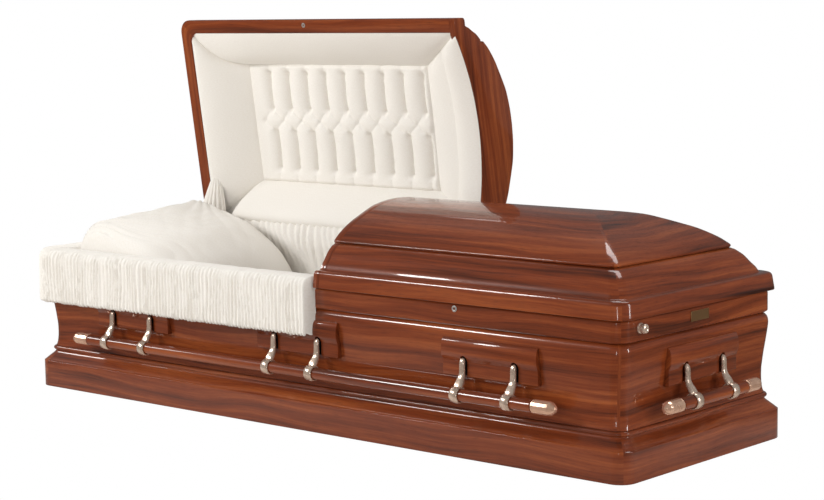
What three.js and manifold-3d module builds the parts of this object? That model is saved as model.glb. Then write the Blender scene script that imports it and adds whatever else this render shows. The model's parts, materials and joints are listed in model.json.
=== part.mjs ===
// A half-couch wooden funeral casket with its head lid open: urn-shaped sides on a moulded
// base, a two-part crowned lid on hinges, swing-bar handles and a cloth interior.
// Millimetres. X runs along the length (+X is the foot end), the front faces -Y, +Z is up,
// and the origin is on the floor under the middle of the casket.

import * as THREE from "three";
import { mergeVertices } from "three/addons/utils/BufferGeometryUtils.js";
import Module from "manifold-3d";

const wasm = await Module();
wasm.setup();

// Overall plan of the casket at its plinth
const casketLength = 2100;
const casketWidth = 692;
const plinthCornerRadius = 41;
const leastCornerRadius = 12;
const cornerTaper = 0.18;

// Sides that stand in for round shapes
const cornerSteps = 4;
const barSides = 12;
const tipSides = 10;
const smallSides = 6;

// Heights of the stacked mouldings
const plinthHeight = 75;
const baseMouldingRise = 42;
const wallRise = 202;
const railRise = 54;
const lidSeam = 3;
const rimRise = 44;
const ogeeRise = 63;
const crownRise = 99;

// Board thicknesses and insets, measured inwards from the plinth's face
const innerInset = 51;
const bottomBoardThickness = 19;
const rimUndersideInset = 48;
const crownThickness = 18;
const headerThickness = 20;
const pieceGap = 0.3;

// Lid: where it parts, how far it opens, and the low arch of its end boards
const partingX = 68.7;
const partingGap = 2;
const lidOpenDegrees = 81.8;
const archHalfSpan = 290;
const archRise = 62;
const hingeOutset = 5.3;
const hingeLift = 5.5;
const hingeKnuckleRadius = 4.5;
const hingeLeafThickness = 2;
const hingeLeafHeight = 28;
const hingeLength = 860;
const hingeKnuckles = 6;

// Handles
const barRadius = 15.5;
const barOutset = 12;
const barHeight = 159;
const pivotInset = 13;
const pivotHeight = 243;
const pivotPinRadius = 2.6;
const pivotPinPlay = 2;
const armHangInset = 8;
const armTopWidth = 13;
const armTopThickness = 7;
const armRingWidth = 25;
const armRingWall = 4.5;
const armSpacing = 157;
const tipLength = 70;
const tipRadius = 17;
const tipCollarLength = 3;
const tipCollarStep = 1;
const sideBarEndGap = 183.5;
const endBarEndGap = 139;
const handleFromEnd = 405;
const sideBarLength = casketLength - 2 * sideBarEndGap;
const endBarLength = casketWidth - 2 * endBarEndGap;
const handlePitch = casketLength / 2 - handleFromEnd;
const plaqueLength = 292;
const plaqueBottom = 200;
const plaqueTop = 291;
const slotWidth = 20;
const slotTop = 251;

// Small fittings on the foot end's rail
const capRadius = 12.5;
const capReach = 19;
const capFromMiddle = 256;
const plateLength = 76;
const plateHeight = 25;
const plateThickness = 1.5;
const plateFromMiddle = 9;

// Cloth parts
const liningThickness = 12;
const liningDrop = 2;
const mattressThickness = 180;
const clothGap = 0.6;
const apronBottom = 257;
const apronOutset = 15;
const apronThickness = 11;
const apronRoll = 30;
const apronInset = 70;
const apronEndBeforeSeam = 2.5;
const apronEdgeDrop = 8;
const apronBendDrop = 26;
const apronFoldFromBack = 46;
const pillowLength = 445;
const pillowTop = 500;
const pillowFootHeight = 300;
const pillowSideGap = 14;
const panelEndInset = 196;
const panelFrontInset = 161;
const panelBackInset = 168;
const panelFromSeam = 204;
const panelFaceRise = 109;
const panelThickness = 24;
const borderEdgeThickness = 18;

// Heights worked out from the stack
const baseTop = plinthHeight + baseMouldingRise;
const wallTop = baseTop + wallRise;
const railTop = wallTop + railRise + 1;
const lidBottom = railTop + lidSeam;
const rimTop = lidBottom + rimRise;
const ogeeTop = rimTop + ogeeRise;
const crownTop = ogeeTop + crownRise;
const mattressTop = bottomBoardThickness + clothGap + mattressThickness;

// Mouldings, each as [inset, share of its own rise]
const plinthTopProfile = [
  [3, 0.06],
  [8, 0.19],
  [21, 0.5],
  [25, 0.62],
  [26, 0.72],
  [22, 0.78],
  [21, 0.86],
  [23, 0.96],
  [25, 1],
];
const wallProfile = [
  [27, 0],
  [30, 0.054],
  [32, 0.16],
  [32, 0.29],
  [31, 0.36],
  [28, 0.505],
  [24, 0.66],
  [20, 0.83],
  [19.5, 0.9],
  [22, 0.96],
  [28.4, 1],
];
const railProfile = [
  [28.4, 0],
  [24, 0.05],
  [20.5, 0.1],
  [20.5, 0.93],
  [22.5, 1],
];
const rimProfile = [
  [9.5, 0],
  [8, 0.05],
  [10.5, 0.5],
  [12.5, 0.82],
  [16, 0.95],
  [22, 1],
];
const ogeeProfile = [
  [36, 0],
  [38.5, 0.06],
  [44, 0.22],
  [53, 0.4],
  [61, 0.58],
  [67.5, 0.71],
  [81, 0.9],
  [90, 1],
];
const ogeeInnerProfile = [
  [0, 0.81],
  [-29, 0.55],
  [-45, 0.24],
  [-60, -0.14],
];
const crownProfile = [
  [91, 0.004],
  [93, 0.07],
  [115, 0.278],
  [150, 0.49],
  [185, 0.646],
  [215, 0.77],
  [249, 0.889],
  [300, 0.975],
];
const crownRidgeHalfWidth = 4;
const railFaceInset = railProfile[2][0];
const plaqueProfile = [
  [15.5, 0],
  [15.5, 0.42],
  [9.5, 0.56],
  [8.5, 0.7],
  [11, 0.9],
  [15.5, 0.985],
];

const wood = { color: 0x96492b, roughness: 0.16, metalness: 0 };
const cloth = { color: 0xebe3d6, roughness: 0.85, metalness: 0 };
const bronze = { color: 0xc8aa82, roughness: 0.28, metalness: 1 };
const copper = { color: 0xe0a57c, roughness: 0.22, metalness: 1 };
const brass = { color: 0xb08a58, roughness: 0.35, metalness: 1 };

const casket = new THREE.Group();

// Adds a named mesh with its own material
function place(name, geometry, finish, parent = casket) {
  const mesh = new THREE.Mesh(geometry, new THREE.MeshStandardMaterial(finish));
  mesh.name = name;
  parent.add(mesh);
  return mesh;
}

// Turns a closed geometry into a solid that can be cut and joined
function solidFrom(geometry) {
  const bare = (geometry.index ? geometry.toNonIndexed() : geometry.clone());
  bare.deleteAttribute("normal");
  bare.deleteAttribute("uv");
  const merged = mergeVertices(bare, 1e-4);
  const mesh = new wasm.Mesh({
    numProp: 3,
    vertProperties: merged.attributes.position.array,
    triVerts: new Uint32Array(merged.index.array),
  });
  return new wasm.Manifold(mesh);
}

// Turns a solid back into a geometry for a mesh
function geometryFrom(solid) {
  const mesh = solid.getMesh();
  const geometry = new THREE.BufferGeometry();
  geometry.setAttribute("position", new THREE.BufferAttribute(mesh.vertProperties, 3));
  geometry.setIndex(new THREE.BufferAttribute(mesh.triVerts, 1));
  return geometry;
}

// A block between two corners
function block(low, high) {
  const size = high.clone().sub(low);
  const middle = low.clone().add(high).multiplyScalar(0.5);
  return new THREE.BoxGeometry(size.x, size.y, size.z).translate(middle.x, middle.y, middle.z);
}

// Joins rings of points, all of one length, into a skin. A closed skin joins its last ring to
// its first. An open one has a flat end on each of the two.
function skin(rings, closed) {
  const count = rings[0].length;
  const positions = rings.flat().flatMap((point) => [point.x, point.y, point.z]);
  const faces = [];
  const last = closed ? rings.length : rings.length - 1;
  for (let ring = 0; ring < last; ring++) {
    const above = (ring + 1) % rings.length;
    for (let step = 0; step < count; step++) {
      const next = (step + 1) % count;
      const corners = [ring * count + step, ring * count + next, above * count + next, above * count + step];
      faces.push(corners[0], corners[1], corners[2], corners[0], corners[2], corners[3]);
    }
  }
  if (!closed) {
    const top = (rings.length - 1) * count;
    for (let step = 1; step < count - 1; step++) {
      faces.push(0, step + 1, step);
      faces.push(top, top + step, top + step + 1);
    }
  }
  const geometry = new THREE.BufferGeometry();
  geometry.setAttribute("position", new THREE.Float32BufferAttribute(positions, 3));
  geometry.setIndex(faces);
  return geometry;
}

// The plan's corners tighten a little with every step inwards
function cornerRadius(inset) {
  const least = Math.min(leastCornerRadius, (casketWidth / 2 - inset) / 2);
  return Math.max(plinthCornerRadius - cornerTaper * inset, least);
}

// The casket's plan at an inset: a rectangle with rounded corners, counterclockwise
function planRing(inset, height, steps = cornerSteps) {
  const halfLength = casketLength / 2 - inset;
  const halfWidth = casketWidth / 2 - inset;
  const radius = cornerRadius(inset);
  const signs = [[1, 1], [-1, 1], [-1, -1], [1, -1]];
  const points = [];
  signs.forEach(([signX, signY], corner) => {
    for (let step = 0; step <= steps; step++) {
      const angle = (corner + step / steps) * Math.PI / 2;
      const x = signX * (halfLength - radius) + radius * Math.cos(angle);
      const y = signY * (halfWidth - radius) + radius * Math.sin(angle);
      points.push(new THREE.Vector3(x, y, height));
    }
  });
  return points;
}

// A moulding's [inset, share] list set between two heights
function between(profile, bottom, top) {
  return profile.map(([inset, share]) => [inset, bottom + share * (top - bottom)]);
}

// A hollow ring that runs round the casket with a section given outside first, upwards
function mouldingRing(outside, inside, steps = cornerSteps) {
  const section = [...outside, ...inside];
  return skin(section.map(([inset, height]) => planRing(inset, height, steps)), true);
}

// A sheet of moulding from one end of a profile to the other, made thick inwards
function thickened(profile, thickness) {
  return profile.map(([inset, height], index) => {
    const before = profile[Math.max(index - 1, 0)];
    const after = profile[Math.min(index + 1, profile.length - 1)];
    const run = new THREE.Vector2(after[0] - before[0], after[1] - before[1]).normalize();
    return [inset + thickness * run.y, height - thickness * run.x];
  });
}

// Wooden body: base moulding, bottom board, four mitred walls and the top rail

const plinthOutside = [
  [0, 0],
  [0, plinthHeight],
  ...between(plinthTopProfile, plinthHeight, baseTop),
];
const plinthInside = [
  [innerInset, baseTop],
  [innerInset, 0],
];
place("base_moulding", mouldingRing(plinthOutside, plinthInside), wood);

const boardInset = innerInset + pieceGap;
const boardRings = [planRing(boardInset, 0, 1), planRing(boardInset, bottomBoardThickness, 1)];
place("bottom_board", skin(boardRings, false), wood);

const wallOutside = between(wallProfile, baseTop + pieceGap, wallTop);
const wallInside = [
  [innerInset, wallTop],
  [innerInset, baseTop + pieceGap],
];
const wallRing = solidFrom(mouldingRing(wallOutside, wallInside));

// The part of the plan that belongs to one wall, out to the mitres at its two corners
function mitredPlan(halfRun, halfDepth) {
  const mitreGap = pieceGap / Math.SQRT2;
  const back = innerInset * 2;
  const shape = new THREE.Shape();
  shape.moveTo(-halfRun + mitreGap, -halfDepth);
  shape.lineTo(halfRun - mitreGap, -halfDepth);
  shape.lineTo(halfRun - back - mitreGap, -halfDepth + back);
  shape.lineTo(-halfRun + back + mitreGap, -halfDepth + back);
  shape.closePath();
  return new THREE.ExtrudeGeometry(shape, { depth: crownTop, bevelEnabled: false });
}

const sides = [
  { name: "front", turn: 0, halfRun: casketLength / 2, halfDepth: casketWidth / 2 },
  { name: "foot", turn: Math.PI / 2, halfRun: casketWidth / 2, halfDepth: casketLength / 2 },
  { name: "back", turn: Math.PI, halfRun: casketLength / 2, halfDepth: casketWidth / 2 },
  { name: "head", turn: -Math.PI / 2, halfRun: casketWidth / 2, halfDepth: casketLength / 2 },
];
for (const side of sides) {
  const region = mitredPlan(side.halfRun, side.halfDepth).rotateZ(side.turn);
  place("wall_" + side.name, geometryFrom(wallRing.intersect(solidFrom(region))), wood);
}

const railOutside = between(railProfile, wallTop + pieceGap, railTop);
const railInside = [
  [innerInset, railTop],
  [innerInset, wallTop + pieceGap],
];
place("top_rail", mouldingRing(railOutside, railInside), wood);

// Lid, made closed as one cap and cut across at the parting

const rimOutside = [...between(rimProfile, lidBottom, rimTop), ...between(ogeeProfile, rimTop, ogeeTop)];
const crownFootInset = crownProfile[0][0] + crownThickness + 3;
const rimInside = [
  [crownFootInset, ogeeTop],
  ...ogeeInnerProfile.map(([shift, share]) => [crownFootInset + shift, rimTop + share * ogeeRise]),
  [rimUndersideInset, rimTop - rimRise / 3],
  [rimUndersideInset, lidBottom],
];
const rimSolid = solidFrom(mouldingRing(rimOutside, rimInside));

const ridgeInset = casketWidth / 2 - crownRidgeHalfWidth;
const crownBottom = ogeeTop + pieceGap;
const crownOutside = [...between(crownProfile, crownBottom, crownTop), [ridgeInset, crownTop]];
const crownInside = thickened(crownOutside, crownThickness).slice(2, -1).reverse();
crownInside.unshift([ridgeInset, crownTop - crownThickness]);
crownInside.push([crownFootInset, crownBottom]);
const crownRings = [...crownInside, ...crownOutside].map(([inset, height]) => planRing(inset, height));
const crownSolid = solidFrom(skin(crownRings, false));

const farAway = casketLength;
function cutAlong(solid, fromX, toX) {
  const low = new THREE.Vector3(fromX, -casketWidth, -1);
  const high = new THREE.Vector3(toX, casketWidth, crownTop + 1);
  return geometryFrom(solid.intersect(solidFrom(block(low, high))));
}

// The end board's outline: the cap's own section above, and a low arch below
function headerGeometry(fromX) {
  const outside = [...rimOutside, ...crownOutside];
  const halfWidth = casketWidth / 2;
  const shape = new THREE.Shape();
  shape.moveTo(archHalfSpan, lidBottom);
  outside.forEach(([inset, height]) => shape.lineTo(halfWidth - inset, height));
  [...outside].reverse().forEach(([inset, height]) => shape.lineTo(inset - halfWidth, height));
  shape.lineTo(-archHalfSpan, lidBottom);
  const archSteps = 12;
  for (let step = 1; step < archSteps; step++) {
    const across = -archHalfSpan + (2 * archHalfSpan * step) / archSteps;
    shape.lineTo(across, lidBottom + archHeight(across));
  }
  shape.closePath();
  const board = new THREE.ExtrudeGeometry(shape, { depth: headerThickness, bevelEnabled: false });
  board.rotateX(Math.PI / 2);
  board.rotateZ(Math.PI / 2);
  return board.translate(fromX, 0, 0);
}

function archHeight(across) {
  return archRise * Math.max(0, 1 - (across / archHalfSpan) ** 2);
}

const headLidEnd = partingX - partingGap / 2;
const footLidStart = partingX + partingGap / 2;
const rimFaceInset = rimProfile[1][0];
const hinge = new THREE.Vector3(0, casketWidth / 2 - rimFaceInset + hingeOutset, lidBottom + hingeLift);

// A group whose meshes keep the casket's own coordinates but turn about the hinge line
function lidGroup(openDegrees) {
  const turning = new THREE.Group();
  turning.position.copy(hinge);
  turning.rotation.x = -THREE.MathUtils.degToRad(openDegrees);
  const inner = new THREE.Group();
  inner.position.copy(hinge).negate();
  turning.add(inner);
  casket.add(turning);
  return inner;
}
const headLid = lidGroup(lidOpenDegrees);
const footLid = lidGroup(0);

const headBoardFrom = headLidEnd - headerThickness;
const footBoardTo = footLidStart + headerThickness;
place("head_lid_rim", cutAlong(rimSolid, -farAway, headBoardFrom - pieceGap), wood, headLid);
place("head_lid_crown", cutAlong(crownSolid, -farAway, headBoardFrom - pieceGap), wood, headLid);
place("head_lid_header", headerGeometry(headBoardFrom), wood, headLid);
place("foot_lid_rim", cutAlong(rimSolid, footBoardTo + pieceGap, farAway), wood, footLid);
place("foot_lid_crown", cutAlong(crownSolid, footBoardTo + pieceGap, farAway), wood, footLid);
place("foot_lid_header", headerGeometry(footLidStart), wood, footLid);

// Hinges: a long leaf on the back rail and one on each lid, with knuckles that take turns

// A solid bar along X with a section given as [y, z] points
function barAlongX(section, fromX, length) {
  const shape = new THREE.Shape(section.map(([y, z]) => new THREE.Vector2(y, z)));
  const bar = new THREE.ExtrudeGeometry(shape, { depth: length, bevelEnabled: false });
  bar.rotateX(Math.PI / 2);
  bar.rotateZ(Math.PI / 2);
  return bar.translate(fromX, 0, 0);
}

function hingeLeaf(section, middleX, firstKnuckle) {
  const start = middleX - hingeLength / 2;
  const pitch = hingeLength / hingeKnuckles;
  let leaf = solidFrom(barAlongX(section, start, hingeLength));
  for (let knuckle = 0; knuckle < hingeKnuckles; knuckle++) {
    const from = start + knuckle * pitch;
    const sleeve = new THREE.CylinderGeometry(hingeKnuckleRadius, hingeKnuckleRadius, pitch - pieceGap, smallSides);
    sleeve.rotateZ(Math.PI / 2).translate(from + pitch / 2, hinge.y, hinge.z);
    if (knuckle % 2 === firstKnuckle) {
      leaf = leaf.add(solidFrom(sleeve));
      continue;
    }
    const reach = hingeKnuckleRadius + pieceGap;
    const low = new THREE.Vector3(from - pieceGap, hinge.y - reach, hinge.z - reach);
    const high = new THREE.Vector3(from + pitch + pieceGap, hinge.y + reach, hinge.z + reach);
    leaf = leaf.subtract(solidFrom(block(low, high)));
  }
  return geometryFrom(leaf);
}

// The fixed leaf runs up the rail's face, steps out under the lid and turns up into the knuckles
const railFace = casketWidth / 2 - railFaceInset + pieceGap;
const flangeTop = railTop - pieceGap;
const flangeBottom = flangeTop - hingeLeafThickness;
const webHalf = hingeLeafThickness / 2;
const fixedLeafSection = [
  [railFace, flangeBottom - hingeLeafHeight],
  [railFace + hingeLeafThickness, flangeBottom - hingeLeafHeight],
  [railFace + hingeLeafThickness, flangeBottom],
  [hinge.y + webHalf, flangeBottom],
  [hinge.y + webHalf, hinge.z],
  [hinge.y - webHalf, hinge.z],
  [hinge.y - webHalf, flangeTop],
  [railFace, flangeTop],
];
const rimFaceLow = casketWidth / 2 - rimFaceInset + 2 * pieceGap;
const movingLeafSection = [
  [rimFaceLow, hinge.z - hingeLeafThickness],
  [rimFaceLow + hingeLeafThickness, hinge.z - hingeLeafThickness],
  [rimFaceLow + hingeLeafThickness, hinge.z + hingeLeafHeight],
  [rimFaceLow, hinge.z + hingeLeafHeight],
];
const headHingeMiddle = (headLidEnd - casketLength / 2) / 2;
const footHingeMiddle = (footLidStart + casketLength / 2) / 2;
place("head_hinge_fixed_leaf", hingeLeaf(fixedLeafSection, headHingeMiddle, 0), brass);
place("foot_hinge_fixed_leaf", hingeLeaf(fixedLeafSection, footHingeMiddle, 0), brass);
place("head_hinge_lid_leaf", hingeLeaf(movingLeafSection, headHingeMiddle, 1), brass, headLid);
place("foot_hinge_lid_leaf", hingeLeaf(movingLeafSection, footHingeMiddle, 1), brass, footLid);

// Handles. Each is made on the front and turned to its side; u runs along the side.

// The wall's inset at a height, read from its moulding
function wallInsetAt(height) {
  const points = wallOutside;
  for (let index = 1; index < points.length; index++) {
    const [lowInset, lowHeight] = points[index - 1];
    const [highInset, highHeight] = points[index];
    if (height > highHeight) continue;
    const share = (height - lowHeight) / (highHeight - lowHeight);
    return lowInset + share * (highInset - lowInset);
  }
  return points[points.length - 1][0];
}

function plaqueGeometry(side, middle) {
  const rise = plaqueTop - plaqueBottom;
  const faceAt = (inset) => -(side.halfDepth - inset);
  const backSteps = 3;
  const section = plaqueProfile.map(([inset, share]) => [faceAt(inset), plaqueBottom + share * rise]);
  for (let step = backSteps; step >= 0; step--) {
    const height = plaqueBottom + (rise * step) / backSteps;
    section.push([faceAt(wallInsetAt(height) - 2 * pieceGap), height]);
  }
  const board = barAlongX(section.reverse(), middle - plaqueLength / 2, plaqueLength);
  let solid = solidFrom(board);
  for (const direction of [-1, 1]) {
    const u = middle + (direction * armSpacing) / 2;
    const radius = slotWidth / 2;
    const centre = slotTop - radius;
    const round = new THREE.CylinderGeometry(radius, radius, 2 * innerInset, barSides);
    round.translate(u, -side.halfDepth, centre);
    const low = new THREE.Vector3(u - radius, -side.halfDepth - innerInset, plaqueBottom - radius);
    const high = new THREE.Vector3(u + radius, -side.halfDepth + innerInset, centre);
    solid = solid.subtract(solidFrom(round)).subtract(solidFrom(block(low, high)));
  }
  return geometryFrom(solid);
}

// A six-sided section across the arm, width along u and thickness across it
function armRing(centre, width, thickness, lean) {
  const points = [];
  const cut = thickness / 2;
  const halves = [
    [width / 2, 0],
    [width / 2 - cut, thickness / 2],
    [cut - width / 2, thickness / 2],
    [-width / 2, 0],
    [cut - width / 2, -thickness / 2],
    [width / 2 - cut, -thickness / 2],
  ];
  for (const [u, across] of halves) {
    points.push(new THREE.Vector3(u, across * Math.cos(lean), across * Math.sin(lean)).add(centre));
  }
  return points;
}

// The arm's [inset, height, width, thickness] from the bar's ring up its neck and its flat
// strap, which hangs before the plaque, to the pivot in the slot
const neckRise = pivotHeight - barHeight;
const armStations = [
  [-barOutset, barHeight + 0.08 * neckRise, armRingWidth, armTopThickness],
  [-0.66 * barOutset, barHeight + 0.23 * neckRise, armRingWidth, armTopThickness * 1.45],
  [-0.08 * barOutset, barHeight + 0.34 * neckRise, armRingWidth * 0.88, armTopThickness * 1.35],
  [armHangInset * 0.75, barHeight + 0.46 * neckRise, armRingWidth * 0.64, armTopThickness * 1.15],
  [armHangInset, barHeight + 0.6 * neckRise, armTopWidth, armTopThickness],
  [armHangInset, pivotHeight - 11, armTopWidth, armTopThickness],
  [pivotInset, pivotHeight, armTopWidth * 0.7, armTopThickness * 0.8],
];

function armGeometry(side, u) {
  const pivot = new THREE.Vector3(u, -(side.halfDepth - pivotInset), pivotHeight);
  const grip = new THREE.Vector3(u, -(side.halfDepth + barOutset), barHeight);
  const rings = armStations.map(([inset, height, width, thickness], index) => {
    const [lowInset, low] = armStations[Math.max(index - 1, 0)];
    const [highInset, high] = armStations[Math.min(index + 1, armStations.length - 1)];
    const lean = Math.atan2(highInset - lowInset, high - low);
    return armRing(new THREE.Vector3(u, inset - side.halfDepth, height), width, thickness, -lean);
  });
  const sleeveRadius = barRadius + armRingWall;
  const sleeve = new THREE.CylinderGeometry(sleeveRadius, sleeveRadius, armRingWidth, barSides);
  sleeve.rotateZ(Math.PI / 2).translate(grip.x, grip.y, grip.z);
  const hole = new THREE.CylinderGeometry(barRadius + pieceGap, barRadius + pieceGap, 2 * armRingWidth, barSides);
  hole.rotateZ(Math.PI / 2).translate(grip.x, grip.y, grip.z);
  const pin = new THREE.CylinderGeometry(pivotPinRadius, pivotPinRadius, slotWidth - 2 * pivotPinPlay, smallSides);
  pin.rotateZ(Math.PI / 2).translate(pivot.x, pivot.y, pivot.z);
  const solid = solidFrom(skin(rings, false)).add(solidFrom(sleeve)).add(solidFrom(pin));
  return geometryFrom(solid.subtract(solidFrom(hole)));
}

// A faceted metal end that closes the bar, with a dark collar groove where it meets the wood
function tipGeometry(side, direction, halfBar) {
  const profile = [
    [0, 0],
    [tipRadius - tipCollarStep, 0],
    [tipRadius, tipCollarLength],
    [tipRadius, tipLength * 0.74],
    [tipRadius * 0.86, tipLength * 0.84],
    [tipRadius * 0.42, tipLength * 0.97],
    [0, tipLength],
  ];
  const tip = new THREE.LatheGeometry(profile.map(([r, z]) => new THREE.Vector2(r, z)), tipSides);
  tip.rotateZ(-direction * Math.PI / 2);
  return tip.translate(direction * (halfBar - tipLength), -(side.halfDepth + barOutset), barHeight);
}

for (const side of sides) {
  const long = side.name === "front" || side.name === "back";
  const group = new THREE.Group();
  group.rotation.z = side.turn;
  casket.add(group);
  const middles = long ? [-handlePitch, 0, handlePitch] : [0];
  const halfBar = (long ? sideBarLength : endBarLength) / 2;
  middles.forEach((middle, index) => {
    const label = side.name + "_" + (index + 1);
    place("plaque_" + label, plaqueGeometry(side, middle), wood, group);
    for (const direction of [-1, 1]) {
      const armName = "arm_" + label + (direction < 0 ? "a" : "b");
      place(armName, armGeometry(side, middle + (direction * armSpacing) / 2), bronze, group);
    }
  });
  const barLength = 2 * (halfBar - tipLength - pieceGap);
  const bar = new THREE.CylinderGeometry(barRadius, barRadius, barLength, barSides);
  bar.rotateZ(Math.PI / 2).translate(0, -(side.halfDepth + barOutset), barHeight);
  place("bar_" + side.name, bar, wood, group);
  place("tip_" + side.name + "_a", tipGeometry(side, -1, halfBar), copper, group);
  place("tip_" + side.name + "_b", tipGeometry(side, 1, halfBar), copper, group);
}

// Fittings on the foot end's rail: a knurled cap over the closing screw, and a bare plate

const footRailX = casketLength / 2 - railFaceInset + pieceGap;
const fittingHeight = (wallTop + railTop) / 2 + 6;
const capProfile = [
  [0, 0],
  [capRadius, 0],
  [capRadius, capReach * 0.2],
  [capRadius * 0.84, capReach * 0.28],
  [capRadius * 0.9, capReach * 0.36],
  [capRadius * 0.9, capReach * 0.86],
  [capRadius * 0.7, capReach],
  [0, capReach],
];
const cap = new THREE.LatheGeometry(capProfile.map(([r, z]) => new THREE.Vector2(r, z)), barSides);
cap.rotateZ(-Math.PI / 2).translate(footRailX, -capFromMiddle, fittingHeight);
place("screw_cap", cap, copper);

const plateMiddle = -plateFromMiddle;
const plateLow = new THREE.Vector3(footRailX, plateMiddle - plateLength / 2, fittingHeight - plateHeight / 2);
const plateHigh = new THREE.Vector3(
  footRailX + plateThickness,
  plateMiddle + plateLength / 2,
  fittingHeight + plateHeight / 2,
);
place("blank_plate", block(plateLow, plateHigh), brass);

// Cloth: wall lining, mattress, pillow, the apron over the rail and the head lid's lining

const liningOuter = innerInset + clothGap;
const liningInner = liningOuter + liningThickness;
const liningBottom = bottomBoardThickness + clothGap;
const liningTop = railTop - liningDrop;
const liningOutside = [
  [liningOuter, liningBottom],
  [liningOuter, liningTop],
];
const liningInside = [
  [liningInner, liningTop],
  [liningInner, liningBottom],
];
place("wall_lining", mouldingRing(liningOutside, liningInside, 3), cloth);

const mattressInset = liningInner + clothGap;
const mattressEdge = 20;
const mattressRings = [
  planRing(mattressInset + mattressEdge / 2, liningBottom, 3),
  planRing(mattressInset, liningBottom + mattressEdge, 3),
  planRing(mattressInset, mattressTop - mattressEdge, 3),
  planRing(mattressInset + mattressEdge, mattressTop, 3),
];
place("mattress", skin(mattressRings, false), cloth);

// The pillow's side view, from the foot's low edge round to the head's high edge
const pillowHeadX = -(casketLength / 2 - apronInset - clothGap);
const pillowFootX = pillowHeadX + pillowLength;
const pillowBottom = mattressTop + clothGap;
const pillowSide = [
  [0.98, 0],
  [1.01, 0.25],
  [1, 0.5],
  [0.93, 1],
].map(([share, rise]) => [pillowHeadX + share * pillowLength, pillowBottom + rise * (pillowFootHeight - pillowBottom)]);
pillowSide.push(
  [pillowHeadX + 0.62 * pillowLength, pillowFootHeight + 0.6 * (pillowTop - pillowFootHeight)],
  [pillowHeadX + 0.33 * pillowLength, pillowFootHeight + 0.92 * (pillowTop - pillowFootHeight)],
  [pillowHeadX + 0.12 * pillowLength, pillowTop],
  [pillowHeadX + 0.02 * pillowLength, pillowTop - 0.12 * (pillowTop - pillowBottom)],
  [pillowHeadX, pillowBottom + 0.5 * (pillowTop - pillowBottom)],
  [pillowHeadX + 0.02 * pillowLength, pillowBottom],
);
const pillowMiddle = [(pillowHeadX + pillowFootX) / 2, (pillowBottom + pillowFootHeight) / 2];
const pillowHalfWidth = casketWidth / 2 - apronInset - pillowSideGap;
const pillowRings = [];
for (const across of [1, 0.97, 0.86, 0.6, 0.2, -0.2, -0.6, -0.86, -0.97, -1]) {
  const swell = 0.62 + 0.38 * (1 - Math.abs(across) ** 4) ** 0.5;
  pillowRings.push(pillowSide.map(([x, z]) => new THREE.Vector3(
    pillowMiddle[0] + (x - pillowMiddle[0]) * (0.9 + 0.1 * swell),
    across * pillowHalfWidth,
    pillowBottom + (z - pillowBottom) * swell,
  )));
}
place("pillow", skin(pillowRings, false), cloth);

// The apron's section: it hangs outside the rail and folds over its top
const apronUnder = railTop + clothGap;
const apronSection = [
  [-apronOutset, apronBottom],
  [-apronOutset - 1, apronUnder + apronRoll * 0.3],
  [-apronOutset * 0.7, apronUnder + apronRoll * 0.75],
  [-apronOutset * 0.2, apronUnder + apronRoll],
  [apronInset * 0.8, apronUnder + apronRoll],
  [apronInset - 3, apronUnder + apronRoll * 0.7],
  [apronInset, apronUnder],
  [railFaceInset, apronUnder],
  [railFaceInset * 0.3, apronUnder - apronEdgeDrop],
  [apronThickness - apronOutset, apronUnder - apronBendDrop],
  [apronThickness - apronOutset, apronBottom],
];
const apronRing = skin(apronSection.map(([inset, height]) => planRing(inset, height)), true);
const apronReach = casketLength + apronOutset;
const apronRegion = [
  [-apronReach, -casketWidth],
  [headLidEnd - apronEndBeforeSeam, -casketWidth],
  [headLidEnd - apronEndBeforeSeam, 0],
  [-casketLength / 2 + 2 * apronInset, 0],
  [-casketLength / 2 + 2 * apronInset, casketWidth / 2 - apronFoldFromBack],
  [-apronReach, casketWidth / 2 - apronFoldFromBack],
];
const apronShape = new THREE.Shape(apronRegion.map(([x, y]) => new THREE.Vector2(x, y)));
const apronCut = new THREE.ExtrudeGeometry(apronShape, { depth: crownTop, bevelEnabled: false });
place("apron", geometryFrom(solidFrom(apronRing).intersect(solidFrom(apronCut))), cloth);

// The head lid's lining: sloping borders from the rim to a deep flat panel. Beside the end
// board the border's edge follows the arch.
function liningRing(west, east, south, north, height, follow) {
  const perSide = 8;
  const corners = [[east, south], [east, north], [west, north], [west, south]];
  const points = [];
  corners.forEach(([x, y], index) => {
    const [nextX, nextY] = corners[(index + 1) % corners.length];
    for (let step = 0; step < perSide; step++) {
      const share = step / perSide;
      const across = y + (nextY - y) * share;
      const rise = index === 0 ? follow * archHeight(across) : 0;
      points.push(new THREE.Vector3(x + (nextX - x) * share, across, height + rise));
    }
  });
  return points;
}
const halfLength = casketLength / 2;
const halfWidth = casketWidth / 2;
// The lining's corners are square, so they stay inside the rim's rounded ones
const cornerClearance = cornerRadius(rimUndersideInset) * (1 - Math.SQRT1_2);
const borderInset = rimUndersideInset + cornerClearance + clothGap;
const panelEast = headLidEnd - panelFromSeam;
const panelWest = -halfLength + panelEndInset;
const panelSouth = -halfWidth + panelFrontInset;
const panelNorth = halfWidth - panelBackInset;
const borderWest = -halfLength + borderInset;
const borderEast = headBoardFrom - pieceGap - clothGap;
const borderSouth = -halfWidth + borderInset;
const panelFace = lidBottom + panelFaceRise;
const borderLow = lidBottom + 2;
const liningRings = [
  liningRing(panelWest, panelEast, panelSouth, panelNorth, panelFace, 0),
  liningRing(borderWest, borderEast, borderSouth, -borderSouth, borderLow, 1),
  liningRing(borderWest, borderEast, borderSouth, -borderSouth, borderLow + borderEdgeThickness, 1),
  liningRing(panelWest, panelEast, panelSouth, panelNorth, panelFace + panelThickness, 0),
];
place("head_lid_lining", skin(liningRings, false), cloth, headLid);

export default casket;
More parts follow.
